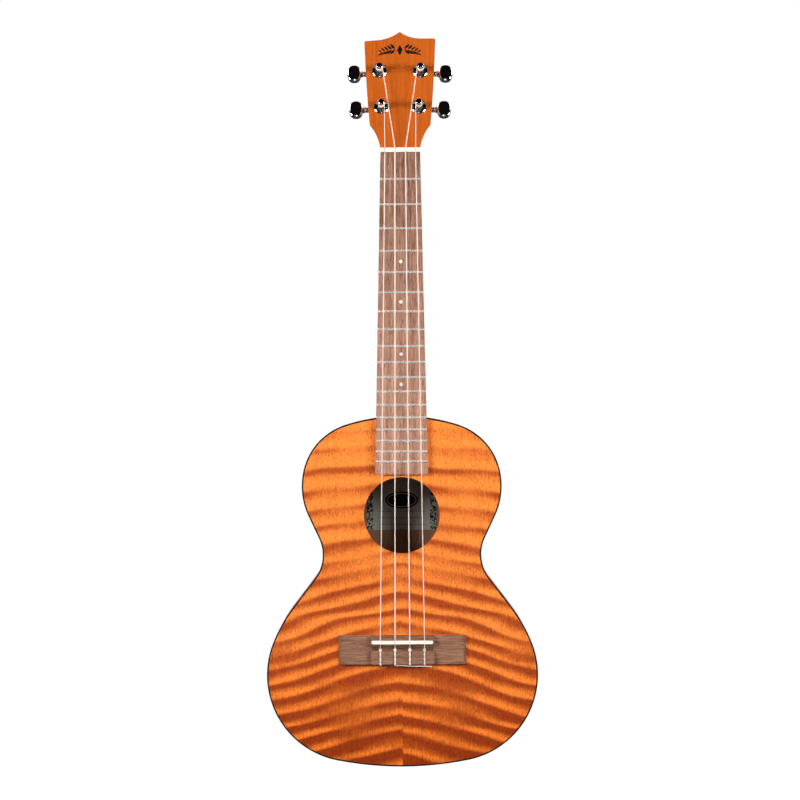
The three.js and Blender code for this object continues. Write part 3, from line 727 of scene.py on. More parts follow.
SPRUCE = plain_wood("spruce", rgb(196, 160, 112), rgb(226, 196, 150), (12, 500, 500), 0.8, 0.2, 0.1)
NICKEL = metal("nickel_silver", rgb(244, 239, 232), 0.28, Metallic=0.58)
CHROME = metal("chrome", rgb(225, 227, 230), 0.06)
BRASS = metal("brass", rgb(190, 156, 90), 0.3)
STEEL = metal("screw_steel", rgb(190, 192, 195), 0.22)
BONE = smooth_plastic("bone", rgb(244, 232, 220), 0.32, 0.03, Coat_Weight=0.2)
NYLON = smooth_plastic("nylon", rgb(236, 226, 214), 0.3, 0.03)
EDGE = smooth_plastic("black_edging", rgb(22, 16, 13), 0.6, 0.1, Specular_IOR_Level=0.15)
INNER_WOOD = plain_wood(
    "inner_mahogany", rgb(128, 84, 60), rgb(182, 138, 108), (420, 420, 16), 0.75, 0.2, 0.3
)
PAPER = printed_paper()
INK = smooth_plastic("label_ink", rgb(14, 11, 9), 0.6, 0.1, Specular_IOR_Level=0.15)
PEARL = smooth_plastic("pearl_dot", rgb(238, 232, 220), 0.25, 0.06, Coat_Weight=0.4)

# ---------------------------------------------------------------- body

PANEL_ROUND = 0.25 * MM
SIDE_INSET = 0.1 * MM  # how far the sides stand in from the edging's outline
VENEER = 0.3 * MM
LINING = (  # inset, and depth behind the panel's face
    (RIB, PANEL), (RIB + 5 * MM, PANEL), (RIB + 5 * MM, 4 * MM), (RIB, 11 * MM),
)
LABEL = {"left": -32.2 * MM, "bottom": -343.3 * MM, "right": 31.6 * MM, "top": -256 * MM}
LABEL_BACK = 0.32 * MM  # above the back's inner face, as are the sheet's front and the print's
LABEL_FACE = 0.5 * MM
LABEL_PRINT = 0.53 * MM
OVAL_Z = -315.8 * MM
OVAL_WIDTH = 15.2 * MM  # half of it, and half of the height
OVAL_HEIGHT = 7.8 * MM
RULE_LENGTH = 21 * MM  # half of it
RULE_WIDTH = 0.3 * MM


def edge_band(name, section, rear):
    """A strip that follows the body's outline; section is (inset, depth behind its panel's face)."""
    rings = []
    for inset, depth in section:
        loop = body_outline(inset)
        if rear:
            rings.append([at(x, depth - rear_depth(z), z) for x, z in loop])
        else:
            rings.append([at(x, -depth, z) for x, z in loop])
    rings.append(rings[0])
    return loft(name, rings, ends=False)


def edging_section():
    """The edging's section, with a rounded outer corner."""
    width, depth, r = EDGING["width"], EDGING["depth"], EDGING["round"]
    corner = [(r - r * math.sin(a), r - r * math.cos(a)) for a in quarter()]
    return [(width, 0.0)] + corner + [(0.0, depth), (width, depth)]


def lean_back(obj, above):
    """Moves a plate made at the front onto the leaning back, a distance above its outer face."""
    for vertex in obj.data.vertices:
        vertex.co.y += rear_depth(vertex.co.z - ZERO_Z) - above


def on_back(name, loops, low, high, slot, material):
    """A flat piece on the back's inner face."""
    shape = plate(name, loops, low, high)
    lean_back(shape, PANEL)
    piece(shape, slot, material)


def build_side(name, side):
    """One bent side, between the front's edging and the rear's."""
    front = EDGING["depth"]
    rings = []
    for (ox, oz), (ix, iz) in zip(half_outline(SIDE_INSET), half_outline(RIB)):
        rings.append([
            at(side * ox, -front, oz), at(side * ix, -front, iz),
            at(side * ix, front - rear_depth(iz), iz), at(side * ox, front - rear_depth(oz), oz),
        ])
    panel = loft(f"side_panel_{name}", rings)
    piece(panel, "body_mahogany", SIDE_WOOD, replaces=[f"side_{name}"])


def build_body():
    panel = body_outline(EDGING["width"])
    hole = circle(0, HOLE_Z, HOLE_RADIUS, 128)
    top = plate("soundboard_panel", [panel, hole], -PANEL, 0)
    piece(soften(top, PANEL_ROUND), "flamed_mahogany", TOP_WOOD, replaces=["soundboard"])
    back = plate("back_panel", [panel], -PANEL, 0)
    lean_back(back, PANEL)
    piece(soften(back, PANEL_ROUND), "body_mahogany", BACK_WOOD, replaces=["back"])
    inner = body_outline(RIB + 0.5 * MM)
    on_back("back_inner_veneer", [inner], 0, VENEER, "body_mahogany", INNER_WOOD)
    build_side("left", -1)
    build_side("right", 1)
    for name, section, slot, material in (
        ("edging", edging_section(), "black_binding", EDGE),
        ("lining", LINING, "body_mahogany", BLOCK_WOOD),
    ):
        for panel in ("front", "rear"):
            band = edge_band(f"{name}_{panel}", section, panel == "rear")
            piece(band, slot, material)


def oval(wide, tall):
    """A loop in the shape of the label's oval, scaled."""
    return [(wide * OVAL_WIDTH * x, OVAL_Z + tall * OVAL_HEIGHT * z) for x, z in circle(0, 0, 1, 64)]


def build_label():
    """A paper label on the back's inner face, below the sound hole: an oval and three rules."""
    sheet = rounded_box(LABEL["left"], LABEL["bottom"], LABEL["right"], LABEL["top"], 0.6 * MM)
    on_back("label_sheet", [sheet], LABEL_BACK, LABEL_FACE, "label_paper", PAPER)
    prints = [("oval_1", [oval(1, 1), oval(0.9, 0.84)]), ("oval_2", [oval(0.84, 0.74)])]
    for number in range(3):
        z = LABEL["bottom"] + (5 + 6 * number) * MM
        rule = rounded_box(-RULE_LENGTH, z, RULE_LENGTH, z + RULE_WIDTH, 0.1 * MM)
        prints.append((f"rule_{number + 1}", [rule]))
    for name, loops in prints:
        on_back(f"label_{name}", loops, LABEL_FACE, LABEL_PRINT, "label_paper", INK)


build_body()
build_label()

# ---------------------------------------------------------------- neck and headstock

RING_ACROSS = 40  # steps across the neck's front, and as many across its back
RING_SIDE = 10
SIDE_FULLNESS = 0.55 * MM
HEEL_POWER = 1.5  # the heel's section is leaner than an ellipse, whose power is 2
HEEL_FLAT = 0.2  # how much deeper the heel would reach at the body without its cap
HEEL_SET = 1.6 * MM  # how far the heel goes down past the body's end, at its corners
HEEL_ROOM = 0.05 * MM
THROAT_BOXED = 0.25  # how square the neck's back is where the headstock starts
HEAD_BOXED = 27 * MM  # where the headstock's back is fully flat
HEAD_STEPS = (  # mm up the headstock's face
    0.15, 2, 4, 6.5, 9, 12, 15, 18, 20.5, 22.2, 23, 23.8, 25.5, 28, 32, 38, 46, 56, 68, 80, 90,
)
ORNAMENT_Y = 94.3 * MM
LOZENGE = ((2.6, 0), (0, 5.2), (-2.6, 0), (0, -5.2))
LEAVES = 5
PRINT_LOW, PRINT_HIGH = -0.02 * MM, 0.03 * MM


def circle_through(a, b, radius):
    """Centre of the circle through a and b that lies on the right of the way from a to b."""
    half = (b - a) / 2
    right = Vector((half.y, -half.x)).normalized()
    return a + half + right * math.sqrt(radius ** 2 - half.length_squared)


def head_half_width(y):
    """Half-width of the headstock at y up its face: a concave throat, then a slightly full side."""
    if y < 0:
        return BOARD["width"] / 2
    if y < HEAD_SHOULDER.y:
        centre = circle_through(Vector((BOARD["width"] / 2, 0)), HEAD_SHOULDER, THROAT_RADIUS)
        return centre.x - math.sqrt(THROAT_RADIUS ** 2 - (y - centre.y) ** 2)
    share = (y - HEAD_SHOULDER.y) / (HEAD_CORNER.y - HEAD_SHOULDER.y)
    bulge = SIDE_FULLNESS * 4 * share * (1 - share)
    return HEAD_SHOULDER.x + (HEAD_CORNER.x - HEAD_SHOULDER.x) * share + bulge


def crown(x):
    """Height of the headstock's top edge at x: flat shoulders and a concave rise to the peak."""
    reach = abs(x)
    if reach >= CROWN_FOOT.x:
        share = (reach - CROWN_FOOT.x) / (HEAD_CORNER.x - CROWN_FOOT.x)
        rise = CROWN_FOOT.y + (HEAD_CORNER.y - CROWN_FOOT.y) * share
    else:
        centre = circle_through(CROWN_FOOT, Vector((0, HEAD_PEAK)), CROWN_RADIUS)
        rise = centre.y - math.sqrt(CROWN_RADIUS ** 2 - (reach - centre.x) ** 2)
    into = max(0.0, reach - HEAD_CORNER.x + CORNER_RADIUS)
    rounding = CORNER_RADIUS - math.sqrt(CORNER_RADIUS ** 2 - min(into, CORNER_RADIUS) ** 2)
    return rise + CROWN_SKEW * x * min(1.0, reach / CROWN_FOOT.x) - rounding


def neck_section(width, depth, power=2.0, reach=1.0, boxed=0.0):
    """A ring of (x, depth): flat in front, and behind it a rounded back or, if boxed, a flat one."""
    half = width / 2
    columns = half * np.sin(np.linspace(-math.pi / 2, math.pi / 2, RING_ACROSS + 1))
    front = [(x, 0.0) for x in columns[:-1]]
    curve = []
    for angle in np.linspace(0, math.pi, 241):
        c, s = math.cos(angle), max(0.0, math.sin(angle))
        x = half * math.copysign(abs(c) ** (2 / power), c)
        curve.append((x, depth * min(1.0, reach * s ** (2 / power))))
    rounded = resample(curve, 2 * RING_SIDE + RING_ACROSS)
    flat = [(half, depth * i / RING_SIDE) for i in range(RING_SIDE)]
    flat += [(x, depth) for x in columns[:0:-1]]
    flat += [(-half, depth * (1 - i / RING_SIDE)) for i in range(RING_SIDE + 1)]
    blend = rounded * (1 - boxed) + np.array(flat) * boxed
    return front + [tuple(p) for p in blend[:-1]]


def head_section(y, boxed):
    """The headstock's ring at y. Its back edges are drawn in where the outline widens upward."""
    half = head_half_width(y)
    lean = math.tan(HEAD_PITCH)
    ring = neck_section(2 * half, HEAD_THICKNESS, boxed=boxed)
    return [(x * head_half_width(y - d * lean) / half, d) for x, d in ring]


def ease(t):
    """From 0 to 1 with a soft start and end."""
    t = min(1.0, max(0.0, t))
    return t * t * (3 - 2 * t)


def heel_rings():
    """The heel: along the body's end, then in a curve up to the neck."""
    rings = []
    wood_depth = DEPTH_AT_HEEL - HEEL_CAP
    top_arc = BODY_ARCS[0][0] * MM
    for z in np.linspace(BODY_TOP - HEEL_SET, HEEL_FULL, 12)[:-1]:
        share = (HEEL_FULL - z) / (HEEL_FULL - BODY_TOP)
        reach = 1 + HEEL_FLAT * math.sqrt(min(1.0, share))
        ring = neck_section(board_width(z), wood_depth, HEEL_POWER, reach)
        rings.append([
            at(x, -d, max(z, BODY_TOP - x * x / (2 * top_arc) - HEEL_ROOM)) for x, d in ring
        ])
    for part in np.sin(np.linspace(math.pi / 2, 0, 18)):
        z = HEEL_START + (HEEL_FULL - HEEL_START) * part
        rise = 1 - math.sqrt(1 - part * part)
        depth = NECK_DEPTH_AT_HEEL + (wood_depth - NECK_DEPTH_AT_HEEL) * rise
        ring = neck_section(board_width(z), depth, 2 - (2 - HEEL_POWER) * rise)
        rings.append([at(x, -d, z) for x, d in ring])
    return rings


def neck_rings():
    """The neck's round back, whose rings tilt with the headstock near the nut."""
    rings = []
    for z in np.concatenate([np.linspace(-190, -20, 12), np.linspace(-12, 3, 6)]) * MM:
        depth = NECK_DEPTH + (NECK_DEPTH_AT_HEEL - NECK_DEPTH) * z / HEEL_START
        tilt = HEAD_PITCH * ease((z + 12 * MM) / (12 * MM + NUT_THICKNESS))
        boxed = THROAT_BOXED * ease((z + 10 * MM) / (14 * MM))
        ring = neck_section(board_width(z), depth, boxed=boxed)
        rings.append([at(x, -d * math.cos(tilt), z - d * math.sin(tilt)) for x, d in ring])
    return rings


def head_rings():
    """The headstock, whose last rings bend to the crown."""
    rings = []
    for step in HEAD_STEPS:
        y = step * MM
        boxed = THROAT_BOXED + (1 - THROAT_BOXED) * ease(y / HEAD_BOXED)
        rings.append([HEAD @ Vector((x, y, -d)) for x, d in head_section(y, boxed)])
    for part in (0.4, 0.7, 0.9, 1.0):
        ring = head_section(y + (HEAD_CORNER.y - y) * part, 1.0)
        rings.append([HEAD @ Vector((x, y + (crown(x) - y) * part, -d)) for x, d in ring])
    return rings


def end_strip(start):
    """Faces over an end ring of the neck's skin: strips from front to back and a fan at each side."""
    front = [start + i for i in range(RING_ACROSS + 1)]
    back = [start + 2 * RING_ACROSS + RING_SIDE - i for i in range(RING_ACROSS + 1)]
    faces = [
        (front[i], front[i + 1], back[i + 1], back[i]) for i in range(1, RING_ACROSS - 1)
    ]
    right = [front[-2]] + list(range(front[-1], back[-1] + 1)) + [back[-2]]
    left = [back[1]] + list(range(back[0], back[0] + RING_SIDE)) + [front[0], front[1]]
    return faces + [tuple(right), tuple(left)]


def build_neck():
    rings = heel_rings() + neck_rings() + head_rings()
    caps = end_strip(0) + end_strip((len(rings) - 1) * len(rings[0]))
    neck = loft("neck_and_headstock", rings, ends=False, extra=caps)
    piece(soften(neck, 0.45 * MM, 3, 50), "neck_mahogany", NECK_WOOD, replaces=["neck"])


def build_heel_cap():
    """The cap, as wide as the flat that it leaves on the heel's section."""
    right = []
    for i in range(25):
        share = i / 24
        cut = 1 / (1 + HEEL_FLAT * math.sqrt(share))
        flat = (1 - cut ** HEEL_POWER) ** (1 / HEEL_POWER)
        z = HEEL_FULL + (BODY_TOP - HEEL_FULL) * share
        right.append((flat * board_width(z) / 2, z))
    left = [(-x, z) for x, z in reversed(right[1:])]
    cap = plate("heel_cap", [left + right], -DEPTH_AT_HEEL, HEEL_CAP - DEPTH_AT_HEEL)
    piece(soften(cap, 0.4 * MM), "black_binding", EDGE)


def sprig_leaf(side, number, up):
    """One leaf of the sprig: they get smaller, lower and flatter away from the lozenge."""
    long = 6.6 - 0.55 * number
    turn = up * math.radians(46 - 3 * number)
    x = 4.2 + 2.95 * number + 0.5 * long * math.cos(turn)
    stem = 0.9 - 0.35 * number - 0.13 * number * number
    y = stem + up * (0.2 + 0.5 * long * abs(math.sin(turn)))
    return leaf(side * x * MM, ORNAMENT_Y + y * MM, long * MM, 0.33 * long * MM, side * turn)


def build_ornament():
    """A plain sprig of leaves on each side of a lozenge, printed near the headstock's top."""
    shapes = [[(x * MM, ORNAMENT_Y + y * MM) for x, y in LOZENGE]]
    for side in (-1, 1):
        for number in range(LEAVES):
            shapes += [sprig_leaf(side, number, up) for up in (-1, 1)]
    for number, shape in enumerate(shapes, 1):
        name = f"headstock_ornament_{number:02d}"
        piece(plate(name, [shape], PRINT_LOW, PRINT_HIGH, HEAD), "black_binding", INK)


build_neck()
build_heel_cap()
build_ornament()

# ---------------------------------------------------------------- fingerboard, frets and nut

BOARD_CORNER = 2.5 * MM
GLUE = 0.02 * MM
FRET_INSET = 0.3 * MM  # from the fingerboard's edge
FRET_END = ((1, 0.25), (1, 0.5), (0.985, 0.85), (0.965, 1))  # share of the half-length, and height
DOTTED_FRETS = (5, 7, 10, 12)
FRONT_DOT = 1.55 * MM
SIDE_DOT = 1 * MM
FILE_ROOM = 0.15 * MM  # how much wider the nut's slots are than their strings


def build_fingerboard():
    half, end, r = BOARD["end_width"] / 2, -BOARD["length"], BOARD_CORNER
    loop = [(-BOARD["width"] / 2, 0), (-half, end + r)]
    loop += [(-half + r - r * math.cos(a), end + r - r * math.sin(a)) for a in quarter()[1:]]
    loop += [(-x, z) for x, z in reversed(loop)]
    board = plate("fingerboard_blank", [loop], GLUE, BOARD["thickness"])
    piece(soften(board, 0.35 * MM, 3), "walnut", WALNUT_BOARD, replaces=["fingerboard"])


def build_fret(number):
    """A half-round wire with rounded ends."""
    z = fret_z(number)
    half = board_width(z) / 2 - FRET_INSET
    rings = []
    for x, scale in [(-x, scale) for x, scale in FRET_END] + list(reversed(FRET_END)):
        ring = []
        for i in range(13):
            angle = math.pi * i / 12
            height = BOARD["thickness"] + FRET_HEIGHT * scale * math.sin(angle)
            ring.append(at(half * x, height, z + FRET_WIDTH / 2 * math.cos(angle)))
        rings.append(ring)
    wire = loft(f"fret_wire_{number:02d}", rings, sharp=50)
    piece(wire, "nickel_silver", NICKEL, replaces=[f"fret_{number:02d}"])


def build_dots(number):
    """The position dots above a fret, on the fingerboard's face and on its left edge."""
    z = (fret_z(number) + fret_z(number - 1)) / 2
    high = BOARD["thickness"]
    dot = plate(f"front_dot_{number}", [circle(0, z, FRONT_DOT, 40)], 3 * MM, high + 0.04 * MM)
    piece(dot, "white_bone", PEARL)
    edge = Matrix.Translation(at(-board_width(z) / 2, high / 2, z))
    outward = edge @ Matrix.Rotation(-math.pi / 2, 4, "Y")
    dot = rod(f"side_dot_{number}", SIDE_DOT, -1.5 * MM, 0.03 * MM, outward, 24)
    piece(dot, "white_bone", PEARL)


def over_nut(radius):
    """Height of a string's middle in its slot."""
    return NUT_TOP - NUT_SLOT + radius + SEAT


def build_nut():
    half = BOARD["width"] / 2
    bar = plate("nut_bar", [box(-half, GLUE, half, NUT_THICKNESS - GLUE)], GLUE, NUT_TOP)
    for x, radius in zip(STRING_AT_NUT, STRING_RADIUS):
        cut, height = radius + FILE_ROOM, over_nut(radius)
        file = rod("file", cut, -MM, 5 * MM, Matrix.Translation(at(x, height, 0)), 20)
        bar = combine(bar, file, "DIFFERENCE")
        file = plate("file", [box(x - cut, -MM, x + cut, 5 * MM)], height, NUT_TOP + MM)
        bar = combine(bar, file, "DIFFERENCE")
    piece(soften(bar, 0.18 * MM), "white_bone", BONE, replaces=["nut"])


build_fingerboard()
for fret in range(1, FRETS + 1):
    build_fret(fret)
for fret in DOTTED_FRETS:
    build_dots(fret)
build_nut()

# ---------------------------------------------------------------- bridge, saddle and strings

BRIDGE_BOTTOM = BRIDGE_TOP - BRIDGE_DEPTH
SADDLE_SLOT = SADDLE_THICKNESS / 2 + 0.05 * MM  # half of its width
WING_OVERLAP = 0.5 * MM
WING_INSET = 0.02 * MM
HOLE_DRILL = 0.85 * MM
STRING_BEND = 1.2 * MM
TIE_STEPS = 14
TIE_TWIST = 2.5  # half-turns of the tie over the block
LONG_END = 1  # the string whose cut end was left long
WINDING_TURNS = 4.25
WINDING_STEPS = 24  # in a turn
WINDING_PITCH = 2.05  # string radii from turn to turn
WINDING_FOOT = 6.6 * MM
RUN_END = 6.9 * MM
POST_WAIST = 2.4 * MM
POST_HOLE = 10.8 * MM


def build_bridge():
    """A body with a slot for the saddle and a channel before the tie block, and a wing at each end."""
    top, bottom, high = BRIDGE_TOP, BRIDGE_BOTTOM, BRIDGE_HEIGHT
    profile = [
        (top, 0), (top, BRIDGE_WING), (top - 2.2 * MM, high - 0.6 * MM), (top - 3 * MM, high),
        (SADDLE_Z + SADDLE_SLOT, high), (SADDLE_Z + SADDLE_SLOT, 3 * MM),
        (SADDLE_Z - SADDLE_SLOT, 3 * MM), (SADDLE_Z - SADDLE_SLOT, high),
        (top - 9.3 * MM, high), (top - 9.6 * MM, high - 2 * MM),
        (top - 10.9 * MM, high - 2.2 * MM), (top - 11.1 * MM, 2.4 * MM), (TIE_FRONT, 2.2 * MM),
        (TIE_FRONT, high), (bottom + 0.3 * MM, high), (bottom - 0.2 * MM, high - 1.2 * MM),
        (bottom, 1 * MM), (bottom, 0),
    ]
    half, end = BRIDGE_CENTRE / 2, BRIDGE_LENGTH / 2
    inner = half - WING_OVERLAP
    wing = [(inner, 0), (end, 0), (end, 1.1 * MM), (end - 2.4 * MM, BRIDGE_WING), (inner, BRIDGE_WING)]
    body = loft("bridge_body", [[at(x, h, z) for z, h in profile] for x in (-half, half)])
    for side in (-1, 1):
        rings = [
            [at(side * x, h, z) for x, h in wing] for z in (top - WING_INSET, bottom + WING_INSET)
        ]
        body = combine(body, loft("wing", rings), "UNION")
    for x in STRING_AT_SADDLE:
        place = Matrix.Translation(at(x, STRING_HOLE, bottom))
        body = combine(body, rod("drill", HOLE_DRILL, -MM, 16 * MM, place, 20), "DIFFERENCE")
    piece(soften(body, 0.3 * MM), "walnut", WALNUT_BRIDGE, replaces=["bridge"])


def build_saddle():
    loop = stadium(SADDLE_LENGTH, SADDLE_THICKNESS, SADDLE_Z)
    bar = plate("saddle_bar", [loop], 3.05 * MM, SADDLE_TOP)
    piece(soften(bar, 0.9 * MM, 4), "white_bone", BONE, replaces=["saddle"])


def winding_radius(index):
    return POST_WAIST + STRING_RADIUS[index] + STRING_TOUCH


def build_string(index):
    """A string from its hole in the tie block over the saddle and the nut to its post."""
    radius, nut_x, saddle_x = STRING_RADIUS[index], STRING_AT_NUT[index], STRING_AT_SADDLE[index]
    x, y, side = TUNERS[index]
    over_saddle = SADDLE_TOP + radius - STRING_TOUCH
    route = [
        at(saddle_x, STRING_HOLE, BRIDGE_BOTTOM + 0.3 * MM),
        at(saddle_x, STRING_HOLE, TIE_FRONT + 0.8 * MM),
        at(saddle_x, over_saddle, SADDLE_Z - 0.9 * MM),
        at(saddle_x, over_saddle, SADDLE_Z + 0.9 * MM),
        at(nut_x, over_nut(radius), 0.4 * MM),
        at(nut_x, over_nut(radius) - 0.1 * MM, NUT_THICKNESS - 0.3 * MM),
        HEAD @ Vector((x - side * winding_radius(index), y, RUN_END + radius)),
    ]
    cord = tube(f"string_run_{index + 1}", bent(route, STRING_BEND), radius)
    piece(cord, "nylon", NYLON, replaces=[f"string_{index + 1}"])


def build_tie(index):
    """The string's end: out of the tie block, over its top, round the string and back, twisted."""
    radius, x = STRING_RADIUS[index], STRING_AT_SADDLE[index]
    bottom, front, high = BRIDGE_BOTTOM, TIE_FRONT, BRIDGE_HEIGHT
    top = high + radius
    gap = radius * 1.05

    def twisted(shares, start):
        points = []
        for share in shares:
            angle = math.pi * TIE_TWIST * share + start
            z = bottom + (front - bottom) * (0.02 + 0.93 * share)
            points.append(at(x - gap * math.cos(angle), top + gap + gap * math.sin(angle), z))
        return points

    shares = [i / TIE_STEPS for i in range(TIE_STEPS + 1)]
    route = [
        at(x, STRING_HOLE, bottom + 0.2 * MM),
        at(x, STRING_HOLE + 0.4 * MM, bottom - radius - 0.35 * MM),
        at(x - gap * 0.5, high - 1.2 * MM, bottom - radius - 0.45 * MM),
    ]
    route += twisted(shares, 0.0)
    route += [
        at(x - 0.9 * MM, top + gap * 0.6, front + 0.6 * MM),
        at(x - 0.75 * MM, top - 0.3 * MM, front + 1.7 * MM),
        at(x, top - 0.9 * MM, front + 2.3 * MM),
        at(x + 0.75 * MM, top - 0.3 * MM, front + 1.7 * MM),
        at(x + 0.9 * MM, top + gap * 0.6, front + 0.6 * MM),
    ]
    route += twisted(reversed(shares), math.pi)
    if index == LONG_END:
        route += [
            at(x + 1.2 * MM, high - 1.5 * MM, bottom - radius - 0.5 * MM),
            at(x + 4 * MM, 5.4 * MM, bottom - radius - 0.5 * MM),
            at(x + 14 * MM, 5.2 * MM, bottom - 2.2 * radius - 0.6 * MM),
            at(x + 27 * MM, 5.4 * MM, bottom - 2.2 * radius - 0.6 * MM),
            at(x + 33 * MM, 5.9 * MM, bottom - 2.4 * radius - 0.9 * MM),
        ]
    else:
        route += [
            at(x + 0.9 * MM, high - 1.0 * MM, bottom - radius - 0.4 * MM),
            at(x + 0.6 * MM, 4.6 * MM, bottom - radius - 0.8 * MM),
        ]
    knot = tube(f"string_tie_{index + 1}", flowing(route, 6), radius, 10)
    piece(knot, "nylon", NYLON)


def build_winding(index):
    """Turns of string round the post, with the end through the post's hole."""
    radius, reach = STRING_RADIUS[index], winding_radius(index)
    x, y, side = TUNERS[index]
    start = math.pi if side > 0 else 0.0

    def polar(distance, angle, height):
        return HEAD @ Vector((x + distance * math.cos(angle), y + distance * math.sin(angle), height))

    route = []
    for i in range(int(WINDING_TURNS * WINDING_STEPS) + 1):
        turn = i / WINDING_STEPS
        height = WINDING_FOOT + radius + WINDING_PITCH * radius * turn
        route.append(polar(reach, start - side * 2 * math.pi * turn, height))
    last = start - side * 2 * math.pi * WINDING_TURNS
    route.append(polar(1.3 * MM, last, POST_HOLE))
    route.append(polar(-1.6 * MM, last, POST_HOLE))
    route.append(polar(-3.7 * MM, last, POST_HOLE + 0.1 * MM))
    coil = tube(f"string_winding_{index + 1}", flowing(route, 2), radius, 10)
    piece(coil, "nylon", NYLON, body=f"tuner_{index + 1}_spindle")


build_bridge()
build_saddle()
for string in range(len(TUNERS)):
    build_string(string)
    build_tie(string)
    build_winding(string)

# ---------------------------------------------------------------- tuners

# Profiles of radius and height, in mm.
WASHER = (
    (3.2, 0.02), (6.75, 0.02), (6.75, 0.35), (6.68, 0.5), (6.45, 0.66), (6.1, 0.82), (5.7, 0.95),
    (5.2, 1.0), (3.2, 1.0), (3.2, 0.02),
)
HEX_DOME = ((0, 0), (6.2, 0), (6.2, 2.3), (3.5, 4.3), (0, 4.3))
SLEEVE = ((3.2, -13.0), (4.1, -13.0), (4.1, 1.04), (3.2, 1.04), (3.2, -13.0))
POST = (
    (0, -24.2), (1.9, -24.2), (1.9, -19.9), (3.0, -19.9), (3.0, 5.2), (2.85, 5.7), (2.45, 6.4),
    (2.4, 7.2), (2.4, 11.4), (2.45, 12.0), (2.85, 12.7), (3.0, 13.2), (3.0, 14.1), (2.85, 14.5),
    (2.5, 14.8), (1.9, 14.9), (0, 14.9),
)
SHAFT = (
    (0, -5.0), (1.1, -5.0), (1.1, 5.0), (1.9, 5.2), (1.9, 9.5), (2.5, 9.5), (2.65, 9.65),
    (2.65, 11.0), (2.5, 11.15), (2.4, 11.6), (2.4, 14.6), (0, 14.6),
)
COLLAR = (
    (0, 14.7), (2.4, 14.7), (2.5, 14.8), (2.55, 15.4), (2.8, 16.2), (3.3, 17.0), (3.8, 18.0),
    (3.8, 20.0), (0, 20.0),
)
HEX_RADIUS = 5.9 * MM
BUTTON_EDGE = ((0.70, 1.0), (0.82, 0.99), (0.91, 0.9), (0.97, 0.7), (1.0, 0.36))  # scale, height
BUTTON_SQUARENESS = 0.82
CASE_INNER, CASE_OUTER = -7.6 * MM, 9.2 * MM  # toward the middle and toward the button
CASE_LOW, CASE_HIGH = -7.4 * MM, 9.4 * MM
CASE_DEPTH = 13.4 * MM
POCKET_DEPTH = 11.9 * MM
TAB_X = 1.5 * MM
TAB_THICKNESS = 1.7 * MM
SCREW_DOME = 0.55  # height of a screw's head, and the slots' width and length, in its radii
SCREW_SLOT = (0.28, 1.3)
WHEEL_RADIUS = 3.2 * MM
WHEEL_TEETH = 14
THREAD_ROOT, THREAD_CREST = 0.9 * MM, 1.96 * MM
THREAD_STEPS = 20  # in a turn
THREAD_TURNS = 4


def along_x(place, side):
    """A frame whose third axis points out of the headstock's side, on the worm's axis."""
    return place @ Matrix.Translation((0, WORM_OFFSET, WORM_HEIGHT)) @ Matrix.Rotation(
        side * math.pi / 2, 4, "Y")


def build_bushing(number, place):
    """A washer, and the hexagonal bushing that holds it, with a sleeve through the wood."""
    piece(turned(f"washer_{number}", mm(WASHER), place, 64), "chrome", CHROME)
    hexagon = [(x, y) for y, x in circle(0, 0, HEX_RADIUS, 6)]
    bore = circle(0, 0, 3.25 * MM, 48)
    nut = plate(f"bushing_nut_{number}", [hexagon, bore], 1.05 * MM, 4.2 * MM, place)
    nut = combine(nut, turned("dome", mm(HEX_DOME), place, 64), "INTERSECT")
    piece(soften(nut, 0.2 * MM), "chrome", CHROME, replaces=[f"tuner_{number}_bushing"])
    piece(turned(f"bushing_sleeve_{number}", mm(SLEEVE), place, 40), "chrome", CHROME)


def build_post(number, place):
    """The waisted post, with a hole for its string."""
    across = place @ Matrix.Translation((0, 0, POST_HOLE)) @ Matrix.Rotation(math.pi / 2, 4, "X")
    post = turned(f"string_post_{number}", mm(POST), place)
    post = combine(post, rod("bit", 0.75 * MM, -5 * MM, 5 * MM, across, 20), "DIFFERENCE")
    piece(post, "chrome", CHROME, f"tuner_{number}_spindle", [f"tuner_{number}_post"])


def build_case(number, place, side):
    """The gear case: a rounded cover with a screw tab, open toward the wood."""
    wood = -HEAD_THICKNESS
    front = wood - 0.05 * MM
    left, right = (CASE_INNER, CASE_OUTER) if side > 0 else (-CASE_OUTER, -CASE_INNER)
    cover = rounded_box(left, CASE_LOW, right, CASE_HIGH, 4 * MM)
    case = plate(f"gear_case_{number}", [cover], wood - CASE_DEPTH, front, place)
    pocket = rod(
        "pocket", 4.1 * MM, -POCKET_DEPTH, MM, place @ Matrix.Translation((0, 0, wood)), 40)
    case = combine(case, pocket, "DIFFERENCE")
    groove = rounded_box(
        -5.9 * MM, WORM_OFFSET - 2.5 * MM, 5.9 * MM, WORM_OFFSET + 2.5 * MM, 0.4 * MM)
    slot = plate("slot", [groove], wood - POCKET_DEPTH, wood + MM, place)
    case = combine(case, slot, "DIFFERENCE")
    bore = rod("bore", 2.1 * MM, 0, 12 * MM, along_x(place, side), 32)
    case = combine(case, bore, "DIFFERENCE")
    piece(soften(case, 1.1 * MM, 4, 60), "chrome", CHROME, replaces=[f"tuner_{number}_housing"])
    x = -side * TAB_X
    outline = rounded_box(x - 3.2 * MM, -13.6 * MM, x + 3.2 * MM, -6.4 * MM, 2.6 * MM)
    tab = plate(f"case_tab_{number}", [outline], wood - TAB_THICKNESS, front, place)
    piece(soften(tab, 0.35 * MM), "chrome", CHROME)
    head = place @ Matrix.Translation((x, -10.6 * MM, wood - TAB_THICKNESS))
    build_screw(f"case_screw_{number}", head @ Matrix.Rotation(math.pi, 4, "X"), 1.9 * MM, "root")


